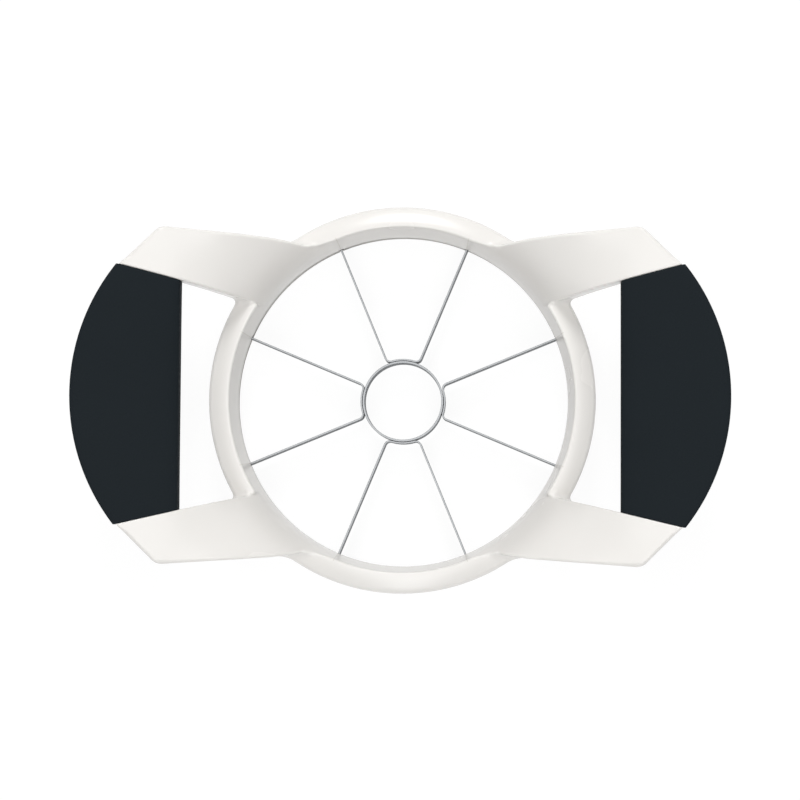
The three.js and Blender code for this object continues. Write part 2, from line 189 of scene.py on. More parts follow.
def wrapped_faces(rows: int, points: int) -> list[tuple[int, int, int, int]]:
    """Faces between rows of points, where the last row meets the first one.

    Args:
        rows: How many rows there are.
        points: How many points each row has, round a closed outline.

    Returns:
        The numbers of each face's four points.
    """
    faces = []
    for row in range(rows):
        here, there = row * points, (row + 1) % rows * points
        for point in range(points):
            after = (point + 1) % points
            faces.append((here + point, here + after, there + after, there + point))
    return faces


def values_of(items: bpy.types.bpy_prop_collection, name: str, size: int) -> Array:
    """Reads a vector of many mesh elements as rows of that size.

    Args:
        items: The mesh's vertices or faces.
        name: The vector's name, such as "co".
        size: How many numbers the vector has.

    Returns:
        The vectors, one row for each element.
    """
    found = np.empty(size * len(items), np.float32)
    items.foreach_get(name, found)
    return found.reshape(-1, size).astype(float)


def in_scene(name: str, data: bpy.types.ID) -> bpy.types.Object:
    """Puts a mesh, a lamp or a camera in the scene.

    Args:
        name: The object's name.
        data: What the object shows.

    Returns:
        The new object, at the origin.
    """
    item = bpy.data.objects.new(name, data)
    bpy.context.scene.collection.objects.link(item)
    return item


def plain_mesh(source: bpy.types.Object, name: str) -> bpy.types.Mesh:
    """Removes an object and keeps what its modifiers make, as a plain mesh.

    Args:
        source: The object with its modifiers.
        name: The mesh's name.

    Returns:
        The mesh, which is in no object yet.
    """
    graph = bpy.context.evaluated_depsgraph_get()
    mesh = bpy.data.meshes.new_from_object(source.evaluated_get(graph))
    source.modifiers.clear()
    bpy.data.objects.remove(source)
    mesh.name = name
    return mesh


@dataclass(frozen=True)
class GridSkin:
    """Skins a field that is alike in all four quarters, on a grid of small cubes.

    Each cube that the surface passes through gets one vertex, where the surface's own
    planes in that cube meet, so that both flat walls and tight edges keep their shape.
    """

    surface: Callable[[Array, Array, Array], Array]
    top: Triple
    cell: float = 0.45 * MM
    # The field is first worked out once for each block of this many cubes along a side.
    block: int = 5
    # How much a vertex is drawn to the mean of its cube's cuts, which steadies flat walls.
    softening: float = 0.02
    # Less than zero lets a vertex leave its cube a little, which keeps long edges straight.
    margin_share: float = -0.4
    # Step over which the field's slopes are taken.
    probe: float = 0.02 * MM
    # Vertices of two quarters are one where they lie on the same step.
    weld_step: float = 0.0002 * MM
    # How far inside a face a corner's normal is taken: a share of the way, up to a distance.
    shade_share: float = 0.35
    shade_inset: float = 0.07 * MM
    # Between these angles in degrees, the field's normal gives way to the face's.
    smooth_angle: float = 14
    sharp_angle: float = 36
    settling_steps: int = 2

    def normals(self, points: Array) -> Array:
        """Outward directions of the field at points.

        Args:
            points: Rows of x, y and z.

        Returns:
            Rows of unit vectors.
        """
        slopes = []
        for axis in range(3):
            step = np.zeros(3)
            step[axis] = self.probe
            ahead = self.surface(*(points + step).T)
            behind = self.surface(*(points - step).T)
            slopes.append(ahead - behind)
        found = np.stack(slopes, axis=1)
        return found / np.maximum(np.linalg.norm(found, axis=1, keepdims=True), TINY)

    def corners(self) -> list[Array]:
        """Grid lines along x, y and z. The first cubes lie over the planes of mirroring.

        Returns:
            The places of the grid's corners along each axis.
        """
        lines = []
        for axis, top in enumerate(self.top):
            start = -self.cell / 2 if axis < 2 else -1.5 * self.cell
            blocks = math.ceil(((top - start) / self.cell + 2) / self.block)
            lines.append(start + self.cell * np.arange(blocks * self.block))
        return lines

    def values(self, lines: list[Array]) -> Array:
        """The field at each grid corner, worked out closely only near the surface.

        Args:
            lines: Grid lines along each axis.

        Returns:
            The field at each corner.
        """
        half = (self.block - 1) / 2 * self.cell
        middles = [line[:: self.block] + half for line in lines]
        coarse = self.surface(*np.meshgrid(*middles, indexing="ij"))
        values = coarse
        for axis in range(3):
            values = np.repeat(values, self.block, axis)
        near = np.abs(values) < self.block * self.cell
        index = np.nonzero(near)
        values[index] = self.surface(*(lines[a][index[a]] for a in range(3)))
        return values

    def quarter(self) -> tuple[Array, Array]:
        """Skins the quarter where x and y are above zero.

        Returns:
            The vertices, and the four-cornered faces as rows of vertex numbers.
        """
        lines = self.corners()
        values = self.values(lines)
        cuts = [self.cut_edges(axis, lines, values) for axis in range(3)]
        terms = np.concatenate([cut[0] for cut in cuts])
        rings = np.concatenate([cut[1] for cut in cuts])
        cubes, number = np.unique(rings, return_inverse=True)
        number = number.reshape(rings.shape)
        sums = np.zeros((len(cubes), terms.shape[1]))
        for corner in range(4):
            for column in range(terms.shape[1]):
                sums[:, column] += np.bincount(number[:, corner], terms[:, column], len(cubes))
        outward = np.concatenate([cut[2] for cut in cuts])
        number[~outward] = number[~outward, ::-1]
        index = np.stack(np.unravel_index(cubes, values.shape), axis=1)
        low = np.stack([lines[a][index[:, a]] for a in range(3)], axis=1)
        vertices = self.on_surface(self.meeting_points(sums, low), low)
        for axis in range(2):
            vertices[index[:, axis] == 0, axis] = 0
        return vertices, number

    def cut_edges(self, axis: int, lines: list[Array], values: Array) -> tuple[Array, Array, Array]:
        """Finds where the surface cuts the grid's edges along one axis.

        Args:
            axis: The axis that the edges follow.
            lines: Grid lines along each axis.
            values: The field at each grid corner.

        Returns:
            What each cut adds to the cubes round it, those four cubes in turn, and whether
            that turn makes a face that points outwards.
        """
        first, second = (a for a in range(3) if a != axis)
        near = [slice(None)] * 3
        far = [slice(None)] * 3
        near[axis] = slice(None, -1)
        far[axis] = slice(1, None)
        inside = values < 0
        cut = np.argwhere(inside[tuple(near)] != inside[tuple(far)])
        cut = cut[(cut[:, first] > 0) & (cut[:, second] > 0)]
        start = values[tuple(cut.T)]
        end = values[tuple(far)][tuple(cut.T)]
        points = np.stack([lines[a][cut[:, a]] for a in range(3)], axis=1)
        points[:, axis] += self.cell * start / (start - end)
        around = []
        for back_first, back_second in ((1, 1), (0, 1), (0, 0), (1, 0)):
            cube = cut.copy()
            cube[:, first] -= back_first
            cube[:, second] -= back_second
            around.append(np.ravel_multi_index(tuple(cube.T), values.shape))
        outward = (start < 0) ^ (axis == 1)
        return self.plane_terms(points), np.stack(around, axis=1), outward

    def plane_terms(self, points: Array) -> Array:
        """What each cut adds to its cubes: its plane's products, its place and a count.

        Args:
            points: Rows of x, y and z, one for each cut.

        Returns:
            One row of terms for each cut.
        """
        normals = self.normals(points)
        nx, ny, nz = normals.T
        offset = (points * normals).sum(axis=1)
        columns = [nx * nx, nx * ny, nx * nz, ny * ny, ny * nz, nz * nz]
        columns += [nx * offset, ny * offset, nz * offset, *points.T, np.ones(len(points))]
        return np.stack(columns, axis=1)

    def meeting_points(self, sums: Array, low: Array) -> Array:
        """Where the planes of each cube's cuts come closest to meeting, inside the cube.

        Args:
            sums: What the cuts of each cube add up to.
            low: The lowest corner of each cube.

        Returns:
            One point for each cube.
        """
        products = sums[:, [0, 1, 2, 1, 3, 4, 2, 4, 5]].reshape(-1, 3, 3)
        mean = sums[:, 9:12] / sums[:, 12:13]
        rest = sums[:, 6:9] - np.einsum("nij,nj->ni", products, mean)
        soft = products + self.softening * sums[:, 12, None, None] * np.eye(3)
        moved = mean + np.linalg.solve(soft, rest[:, :, None])[:, :, 0]
        margin = self.margin_share * self.cell
        return np.clip(moved, low + margin, low + self.cell - margin)

    def on_surface(self, points: Array, low: Array) -> Array:
        """Moves points onto the surface, but not out of their cubes.

        Args:
            points: Rows of x, y and z.
            low: The lowest corner of each point's cube.

        Returns:
            The moved points.
        """
        margin = self.margin_share * self.cell
        for _ in range(self.settling_steps):
            away = self.surface(*points.T)[:, None] * self.normals(points)
            points = np.clip(points - away, low + margin, low + self.cell - margin)
        return points

    def shade(self, mesh: bpy.types.Mesh) -> None:
        """Gives every face corner the field's own normal, taken a little inside the face.

        Where that is far from the face's normal, as on a long face beside a tight edge, the
        corner gets the face's normal, so that the edge stays crisp.

        Args:
            mesh: The skin, at its place.
        """
        points = values_of(mesh.vertices, "co", 3)
        points[:, 2] = np.maximum(points[:, 2], 0)
        mesh.vertices.foreach_set("co", points.ravel())
        mesh.update()
        corners = points[[loop.vertex_index for loop in mesh.loops]]
        sizes = [face.loop_total for face in mesh.polygons]
        centres = np.repeat(values_of(mesh.polygons, "center", 3), sizes, axis=0)
        flat = np.repeat(values_of(mesh.polygons, "normal", 3), sizes, axis=0)
        inwards = centres - corners
        far = np.maximum(np.linalg.norm(inwards, axis=1, keepdims=True), self.probe)
        share = np.minimum(self.shade_share, self.shade_inset / far)
        curved = self.normals(corners + inwards * share)
        alike = (curved * flat).sum(axis=1, keepdims=True)
        limits = [math.cos(math.radians(angle)) for angle in (self.sharp_angle, self.smooth_angle)]
        smooth = smooth_step(alike, *limits)
        mesh.shade_smooth()
        mesh.normals_split_custom_set((curved * smooth + flat * (1 - smooth)).tolist())

    def mesh(self, name: str) -> bpy.types.Mesh:
        """Skins all four quarters and joins them where they meet.

        Args:
            name: The mesh's name.

        Returns:
            The whole skin.
        """
        vertices, faces = self.quarter()
        all_vertices = []
        all_faces = []
        for sign_x, sign_y in ((1, 1), (-1, 1), (-1, -1), (1, -1)):
            order = faces if sign_x * sign_y > 0 else faces[:, ::-1]
            all_faces.append(order + len(all_vertices) * len(vertices))
            all_vertices.append(vertices * np.array([sign_x, sign_y, 1]))
        together = np.concatenate(all_vertices)
        steps = np.round(together / self.weld_step).astype(np.int64)
        steps -= steps.min(axis=0)
        spans = steps.max(axis=0) + 1
        key = (steps[:, 0] * spans[1] + steps[:, 1]) * spans[2] + steps[:, 2]
        _, first, number = np.unique(key, return_index=True, return_inverse=True)
        corners = number[np.concatenate(all_faces)]
        return mesh_of(name, together[first], corners)


# The frame


@dataclass(frozen=True)
class Ring:
    """The round ring, as a half section of distance from the axis and height."""

    lip_radius: float = 47.7 * MM
    lip_height: float = 10 * MM
    wall_lean: float = 1.7 * MM
    foot_lean: float = 0.82 * MM
    foot_height: float = 1.5 * MM
    crest_height: float = 22 * MM
    crest_round: float = 0.6 * MM
    face_width: float = 6.1 * MM
    face_crown: float = 0.5 * MM
    rim_drop: float = 2.6 * MM
    rim_round: float = 1.1 * MM
    draft: float = 0.4 * MM
    inner_wall: float = 1.6 * MM
    channel_outer: float = 52.8 * MM
    roof: float = 2.2 * MM
    edge_round: float = 0.4 * MM

    @property
    def crest_radius(self) -> float:
        """Radius of the inner edge of the sloping top face."""
        return self.lip_radius + self.wall_lean

    @property
    def rim_radius(self) -> float:
        """Radius of the outer edge of the sloping top face."""
        return self.crest_radius + self.face_width

    @property
    def foot_radius(self) -> float:
        """Radius of the throat at its foot."""
        return self.lip_radius + self.foot_lean

    @property
    def rim_height(self) -> float:
        """Height of the outer edge of the sloping top face."""
        return self.crest_height - self.rim_drop

    def throat(self, r: Array, z: Array) -> Array:
        """Field of the throat's open space above the lip."""
        lip = (self.lip_radius, self.lip_height)
        return -side_of(r, z, lip, (self.crest_radius, self.crest_height))

    def top_face(self, r: Array, z: Array) -> Array:
        """Field of what lies under the crowned top face.

        Args:
            r: Distances of the places asked for from the axis.
            z: Heights of the places.

        Returns:
            The field at each place.
        """
        crest = (self.crest_radius, self.crest_height)
        share = np.clip((r - self.crest_radius) / self.face_width, 0, 1)
        crown = 4 * self.face_crown * share * (1 - share)
        return side_of(r, z, crest, (self.rim_radius, self.rim_height)) - crown

    def channel(self, r: Array, z: Array) -> Array:
        """Field of the channel that takes the clamp ring and the blade tabs.

        Args:
            r: Distances of the places asked for from the axis.
            z: Heights of the places.

        Returns:
            The field at each place.
        """
        wall = self.inner_wall
        inner_top = (self.crest_radius + wall, self.crest_height - self.roof)
        outer_top = (self.channel_outer + self.draft, self.rim_height - self.roof)
        inner = side_of(r, z, (self.foot_radius + wall, self.foot_height), inner_top)
        outer = side_of(r, z, outer_top, (self.channel_outer, 0))
        roof = side_of(r, z, inner_top, outer_top)
        return inside_both(inside_both(inner, outer, self.edge_round), roof, self.edge_round)

    def body(self, r: Array, z: Array) -> Array:
        """Field of the ring before the upper half of the throat is cut out of it.

        Args:
            r: Distances of the places asked for from the axis.
            z: Heights of the places.

        Returns:
            The field at each place.
        """
        foot = (self.foot_radius, self.foot_height)
        lower = side_of(r, z, foot, (self.lip_radius, self.lip_height))
        rim = (self.rim_radius, self.rim_height)
        outer = side_of(r, z, rim, (self.rim_radius - self.draft, 0))
        middle = (self.foot_radius + self.inner_wall + self.channel_outer) / 2
        under = np.where(r < middle, self.foot_height - z, -z)
        shape = inside_both(self.top_face(r, z), outer, self.rim_round)
        shape = inside_both(shape, lower, self.edge_round)
        shape = inside_both(shape, under, self.edge_round)
        return inside_both(shape, -self.channel(r, z), self.edge_round)


@dataclass(frozen=True)
class Ramp:
    """The surface that rises from the throat over the arms to the grips.

    It is a parabola from a start, towards a bend and to an end, each given by how far out
    and how high. Near the ring it follows circles, and past the arms' roots straight lines.
    """

    start: Point = (48.7 * MM, 18.2 * MM)
    bend: Point = (60.5 * MM, 40.7 * MM)
    end: Point = (100 * MM, 45.6 * MM)
    turn_start: float = 45 * MM
    turn_end: float = 65 * MM
    line_start: Point = (37.5 * MM, 52.3 * MM)
    line_share: float = 0.89
    least_run: float = 1 * MM

    def reach(self, x: Array, y: Array) -> Array:
        """How far out places are, as the ramp counts it.

        Args:
            x: First coordinates of the places asked for.
            y: Second coordinates of the places.

        Returns:
            The distances outwards.
        """
        along = self.line_start[1] + self.line_share * (np.abs(x) - self.line_start[0])
        turn = smooth_step(np.abs(x), self.turn_start, self.turn_end)
        return np.hypot(x, y) * (1 - turn) + along * turn

    def share(self, x: Array, y: Array) -> Array:
        """How far along the parabola places are, from 0 at its start to 1 at its end.

        Args:
            x: First coordinates of the places asked for.
            y: Second coordinates of the places.

        Returns:
            The shares.
        """
        square = self.start[0] - 2 * self.bend[0] + self.end[0]
        slope = 2 * (self.bend[0] - self.start[0])
        rest = self.start[0] - self.reach(x, y)
        return (np.sqrt(np.maximum(slope**2 - 4 * square * rest, 0)) - slope) / (2 * square)

    def height(self, x: Array, y: Array) -> Array:
        """Height of the ramp over places.

        Args:
            x: First coordinates of the places asked for.
            y: Second coordinates of the places.

        Returns:
            The heights.
        """
        t = self.share(x, y)
        bend = 2 * self.bend[1] * t * (1 - t)
        return self.start[1] * (1 - t) ** 2 + bend + self.end[1] * t**2

    def steepness(self, x: Array, y: Array) -> Array:
        """How much the ramp climbs for each step outwards.

        Args:
            x: First coordinates of the places asked for.
            y: Second coordinates of the places.

        Returns:
            The climb at each place, as height over distance.
        """
        t = self.share(x, y)
        places = zip(self.start, self.bend, self.end)
        outwards, upwards = ((1 - t) * (bend - start) + t * (end - bend) for start, bend, end in places)
        return upwards / np.maximum(outwards, self.least_run)

    def above(self, x: Array, y: Array, z: Array) -> Array:
        """Distance of points above the ramp, less than zero below it."""
        return (z - self.height(x, y)) / np.hypot(1, self.steepness(x, y))


@dataclass(frozen=True)
class Arm:
    """One arm, in the quarter where x and y are above zero.

    Its two roots and its place on the rim are given by radius and by angle in degrees.
    """

    low_root: Point = (50.5 * MM, 33)
    high_root: Point = (50.5 * MM, 59.2)
    high_rim: Point = (55.5 * MM, 54.1)
    tip: Point = (78 * MM, 36.1 * MM)
    corner: Point = (67.1 * MM, 47.2 * MM)
    corner_round: float = 1.2 * MM
    root_bend: float = 1 * MM
    low_edge_round: float = 0.6 * MM
    high_edge_round: float = 1 * MM
    end_edge_round: float = 1.4 * MM
    end_reach: float = 6 * MM
    low_edge_reach: float = 3 * MM
    under_round: float = 0.6 * MM
    # How deep the arm reaches under the ramp, near the ring and farther out.
    root_depth: float = 15 * MM
    depth: float = 10 * MM
    depth_start: float = 25.9 * MM
    depth_end: float = 70 * MM
    floor: float = 12 * MM
    # What is left round the two pockets.
    wall: float = 2.2 * MM
    roof: float = 2.4 * MM
    rib: float = 1.6 * MM

    @staticmethod
    def on_circle(place: Point) -> Point:
        """Turns a radius and an angle in degrees into x and y."""
        angle = math.radians(place[1])
        return (place[0] * math.cos(angle), place[0] * math.sin(angle))

    def low_edge(self, x: Array, y: Array) -> Array:
        """Distance beyond the low edge, which faces the grip and the middle of the tool."""
        return -side_of(x, y, self.on_circle(self.low_root), self.tip)

    def high_edge(self, x: Array, y: Array) -> Array:
        """Distance beyond the high edge, which bends a little near the ring.

        Args:
            x: First coordinates of the places asked for.
            y: Second coordinates of the places.

        Returns:
            The distances, less than zero on the arm.
        """
        rim = self.on_circle(self.high_rim)
        near = side_of(x, y, self.on_circle(self.high_root), rim)
        far = side_of(x, y, rim, self.corner)
        return inside_both_nearly_in_line(near, far, self.root_bend)

    def end(self, x: Array, y: Array) -> Array:
        """Distance beyond the slanted end."""
        return -side_of(x, y, self.tip, self.corner)

    def outline(self, x: Array, y: Array) -> Array:
        """Field of the arm seen from above, without its low edge."""
        return inside_both(self.high_edge(x, y), self.end(x, y), self.corner_round)

    def middle(self, x: Array, y: Array) -> Array:
        """Distance to the upright plane along the middle of the arm.

        Args:
            x: First coordinates of the places asked for.
            y: Second coordinates of the places.

        Returns:
            The distances, all above zero.
        """
        low, high = self.on_circle(self.low_root), self.on_circle(self.high_rim)
        root = ((low[0] + high[0]) / 2, (low[1] + high[1]) / 2)
        far = ((self.tip[0] + self.corner[0]) / 2, (self.tip[1] + self.corner[1]) / 2)
        return np.abs(side_of(x, y, root, far))

    def underside(self, x: Array, y: Array, ramp: Ramp) -> Array:
        """Height of the arm's lower surface.

        Args:
            x: First coordinates of the places asked for.
            y: Second coordinates of the places.
            ramp: The surface that rises over the arms.

        Returns:
            The heights.
        """
        thinned = smooth_step(np.abs(x), self.depth_start, self.depth_end)
        depth = self.root_depth + (self.depth - self.root_depth) * thinned
        return np.maximum(ramp.height(x, y) - depth, self.floor)

    def body(self, x: Array, y: Array, z: Array, ramp: Ramp) -> Array:
        """Field of the arm before the ramp cuts off its top and before it is hollowed.

        Args:
            x: First coordinates of the places asked for.
            y: Second coordinates of the places.
            z: Heights of the places.
            ramp: The surface that rises over the arms.

        Returns:
            The field at each place.
        """
        sides = np.maximum(self.outline(x, y), self.low_edge(x, y))
        tilt = np.hypot(1, ramp.steepness(x, y))
        under = (self.underside(x, y, ramp) - z) / tilt
        return inside_both(sides, under, self.under_round)

    def top_round(self, x: Array, y: Array) -> Array:
        """Radius of the arm's upper edges: tight at the low edge, fuller at the end.

        Args:
            x: First coordinates of the places asked for.
            y: Second coordinates of the places.

        Returns:
            The radii.
        """
        towards_end = smooth_step(-self.end(x, y), self.end_reach, 0)
        far = self.high_edge_round + (self.end_edge_round - self.high_edge_round) * towards_end
        across = smooth_step(-self.low_edge(x, y), self.low_edge_round, self.low_edge_reach)
        return self.low_edge_round + (far - self.low_edge_round) * across

    def hollow(self, x: Array, y: Array, z: Array, ramp: Ramp, ring: Ring) -> Array:
        """Field of the two pockets under the arm, with a rib between them.

        Args:
            x: First coordinates of the places asked for.
            y: Second coordinates of the places.
            z: Heights of the places.
            ramp: The surface that rises over the arms.
            ring: The ring that the arms stand on.

        Returns:
            The field at each place.
        """
        sides = inside_both(self.outline(x, y), self.low_edge(x, y), self.low_edge_round)
        pocket = inside_both(sides + self.wall, ramp.above(x, y, z) + self.roof, self.under_round)
        pocket = inside_both(pocket, ring.rim_radius - np.hypot(x, y), self.under_round)
        return inside_both(pocket, self.rib / 2 - self.middle(x, y), self.under_round)


@dataclass(frozen=True)
class GripShape:
    """Where a grip lies: across it from its inner to its outer edge, and along it."""

    arm: Arm
    ramp: Ramp
    inner: float = 61.5 * MM
    outer: float = 91.1 * MM
    tip: float = 78.8 * MM
    gap: float = 0.05 * MM
    thickness: float = 12 * MM
    edge_drop: float = 2.5 * MM
    # How far the bar lies inside the grip, and how far it reaches into the arms.
    skin: float = 2.4 * MM
    bar_inner_inset: float = 3.4 * MM
    bar_outer_inset: float = 4.8 * MM
    bar_reach: float = 1.6 * MM

    def end_y(self, x: Array) -> Array:
        """Where the grip's end lies along y, for places along x.

        Args:
            x: Places along x.

        Returns:
            The end's place along y at each of them.
        """
        start = self.arm.on_circle(self.arm.low_root)
        run, rise = self.arm.tip[0] - start[0], self.arm.tip[1] - start[1]
        return start[1] + rise / run * (x - start[0]) - self.gap * math.hypot(run, rise) / run

    @property
    def arc_radius(self) -> float:
        """Radius of the grip's outer edge, seen from above."""
        rise = self.outer - self.tip
        return (float(self.end_y(self.tip)) ** 2 + rise**2) / (2 * rise)

    def place(self, across: Array, along: Array) -> tuple[Array, Array]:
        """Turns shares of the grip into x and y.

        Args:
            across: 0 at the inner edge and 1 at the outer edge.
            along: -1 and 1 at the two arms.

        Returns:
            The places' x and y.
        """
        tip_y = float(self.end_y(self.tip))
        edge = self.outer - self.arc_radius + np.sqrt(self.arc_radius**2 - (along * tip_y) ** 2)
        bow = (self.outer - edge) / (self.outer - self.tip)
        end_x = self.inner + (self.tip - self.inner) * across
        middle_x = self.inner + (self.outer - self.inner) * across
        return middle_x + (end_x - middle_x) * bow, along * self.end_y(end_x)

    def bar(self, x: Array, y: Array, z: Array) -> Array:
        """Field of the frame's bar inside the grip.

        Args:
            x: First coordinates of the places asked for.
            y: Second coordinates of the places.
            z: Heights of the places.

        Returns:
            The field at each place.
        """
        centre = self.outer - self.arc_radius
        outer = np.hypot(x - centre, y) - (self.arc_radius - self.bar_outer_inset)
        sides = np.maximum(outer, self.inner + self.bar_inner_inset - x)
        sides = np.maximum(sides, y - self.end_y(x) - self.bar_reach)
        middle = self.ramp.height(x, y) - self.thickness / 2
        return np.maximum(sides, np.abs(z - middle) - (self.thickness / 2 - self.skin))


@dataclass
class FrameMoulding:
    """The white moulding: ring, four hollow arms and the bars inside the grips."""

    ring: Ring = field(default_factory=Ring)
    ramp: Ramp = field(default_factory=Ramp)
    arm: Arm = field(default_factory=Arm)
    blade_count: int = 8
    slot_half: float = 0.55 * MM
    slot_top: float = 10.1 * MM
    slot_depth: float = 51.4 * MM
    arm_start: float = 50 * MM
    # The mouth is where the space over a ramp runs into the throat.
    crest_turn: float = 5 * MM
    mouth_fillet: float = 2.5 * MM
    mouth_foot: float = 0.4 * MM
    mouth_free: float = 53 * MM
    mouth_spread: float = 4 * MM
    lip_reach: float = 1.2 * MM
    lip_fade: float = 4 * MM
    ramp_start: float = 50.8 * MM
    start_fade: float = 1.2 * MM
    least_round: float = 0.35 * MM
    tightest: float = 0.15 * MM
    # Where the edges of a ramp cross the crest, the field is a mean over nearby points.
    worn_full: float = 1 * MM
    worn_reach: float = 2.4 * MM
    worn_step: float = 0.4 * MM
    # Fillets where the arms leave the ring.
    least_fillet: float = 0.3 * MM
    root_fillet: float = 2 * MM
    most_triangles: int = 190_000

    def opening(self, x: Array, y: Array, z: Array) -> Array:
        """Field of the throat and of the space over a ramp, which runs into it.

        The far side of that space turns smoothly into the crest. Past the crest it spreads
        beyond the arm's own sides, so that the arm's edges are cut by the ramp alone.

        Args:
            x: First coordinates of the places asked for.
            y: Second coordinates of the places.
            z: Heights of the places.

        Returns:
            The field at each place.
        """
        r = np.hypot(x, y)
        throat = self.ring.throat(r, z)
        low, high = self.arm.low_edge(x, y), self.arm.high_edge(x, y)
        spread = self.mouth_spread * smooth_step(r, self.ramp_start, self.mouth_free)
        over_ramp = -self.ramp.above(x, y, z)
        far_side = joined(throat, high, self.crest_turn) - spread
        mouth = inside_both(far_side, over_ramp, self.mouth_fillet)
        foot = np.clip((self.ramp_start - r) / 2, self.tightest, self.mouth_foot)
        mouth = inside_both(mouth, low - spread, foot)
        reach = self.lip_reach * smooth_step(np.maximum(low, high), self.lip_fade, 0)
        return -inside_both_nearly_in_line(-throat, -mouth, reach)

    def top_round(self, x: Array, y: Array) -> Array:
        """Radius of the edge round the opening: the crest's, and the arms' farther out.

        Args:
            x: First coordinates of the places asked for.
            y: Second coordinates of the places.

        Returns:
            The radii.
        """
        r = np.hypot(x, y)
        outwards = smooth_step(r, self.ramp_start, self.ring.rim_radius)
        crest = self.ring.crest_round
        edge = crest + (self.arm.top_round(x, y) - crest) * outwards
        from_start = np.hypot(r - self.ramp_start, self.arm.low_edge(x, y))
        fade = smooth_step(from_start, 0, self.start_fade)
        return self.least_round + (edge - self.least_round) * fade

    def slots(self, x: Array, y: Array, z: Array) -> Array:
        """Field of the slots for the blades.

        Args:
            x: First coordinates of the places asked for.
            y: Second coordinates of the places.
            z: Heights of the places.

        Returns:
            The field at each place.
        """
        r = np.hypot(x, y)
        turn = np.arctan2(y, x)
        step = 2 * math.pi / self.blade_count
        from_blade = np.abs((turn % step) - step / 2)
        sides = r * np.sin(from_blade) - self.slot_half
        return np.maximum(np.maximum(sides, z - self.slot_top), r - self.slot_depth)

    def distance(self, x: Array, y: Array, z: Array) -> Array:
        """Field of the whole moulding, softened where the edges of a ramp meet the crest.

        Args:
            x: First coordinates. The moulding is alike on both sides of zero.
            y: Second coordinates, the same.
            z: Heights.

        Returns:
            The field at each place.
        """
        x, y = np.abs(x), np.abs(y)
        found = self.tight_distance(x, y, z)
        edge = np.minimum(np.abs(self.arm.low_edge(x, y)), np.abs(self.arm.high_edge(x, y)))
        crossing = (np.hypot(x, y) - self.ramp_start, edge, z - self.ring.crest_height)
        away = np.sqrt(sum(part**2 for part in crossing))
        near = away < self.worn_reach
        if near.any():
            middle = np.stack([x[near], y[near], z[near]])
            steps = self.worn_step * np.concatenate([np.eye(3), -np.eye(3)])
            mean = sum(self.tight_distance(*(middle + step[:, None])) for step in steps) / len(steps)
            share = smooth_step(away[near], self.worn_reach, self.worn_full)
            found[near] += (mean - found[near]) * share
        return found

    def tight_distance(self, x: Array, y: Array, z: Array) -> Array:
        """Field of the whole moulding, for places where x and y are above zero.

        Args:
            x: First coordinates of the places asked for.
            y: Second coordinates of the places.
            z: Heights of the places.

        Returns:
            The field at each place.
        """
        r = np.hypot(x, y)
        arm = np.maximum(self.arm.body(x, y, z, self.ramp), self.arm_start - r)
        step = self.ramp.height(x, y) + self.ring.top_face(r, np.zeros_like(r))
        outside = smooth_step(self.ring.channel(r, z), 0, self.root_fillet)
        least = np.clip(step, self.tightest, self.least_fillet)
        fillet = np.clip(step * outside, least, self.root_fillet)
        shape = joined(self.ring.body(r, z), arm, fillet)
        shape = inside_both(shape, -self.opening(x, y, z), self.top_round(x, y))
        hollow = self.arm.hollow(x, y, z, self.ramp, self.ring)
        shape = inside_both(shape, -hollow, self.ring.edge_round)
        shape = np.minimum(shape, self.grip_shape.bar(x, y, z))
        return np.maximum(shape, -self.slots(x, y, z))

    @property
    def grip_shape(self) -> GripShape:
        """The grips' place, which the bars follow."""
        return GripShape(self.arm, self.ramp)

    def build(self) -> bpy.types.Object:
        """Skins the moulding, thins its flat walls and keeps the exact normals.

        Returns:
            The piece.
        """
        low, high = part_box("frame_moulding")
        skin = GridSkin(self.distance, tuple(high))
        whole = in_scene("white_frame", skin.mesh("white_frame"))
        triangles = 2 * len(whole.data.polygons)
        thinner = whole.modifiers.new("thin_flat_walls", "DECIMATE")
        thinner.ratio = min(1, self.most_triangles / triangles)
        mesh = plain_mesh(whole, "white_frame")
        skin.shade(mesh)
        log.info("frame: %d triangles skinned, low %s, high %s", triangles, tuple(low), tuple(high))
        return in_scene("white_frame", mesh)


# Soft grips


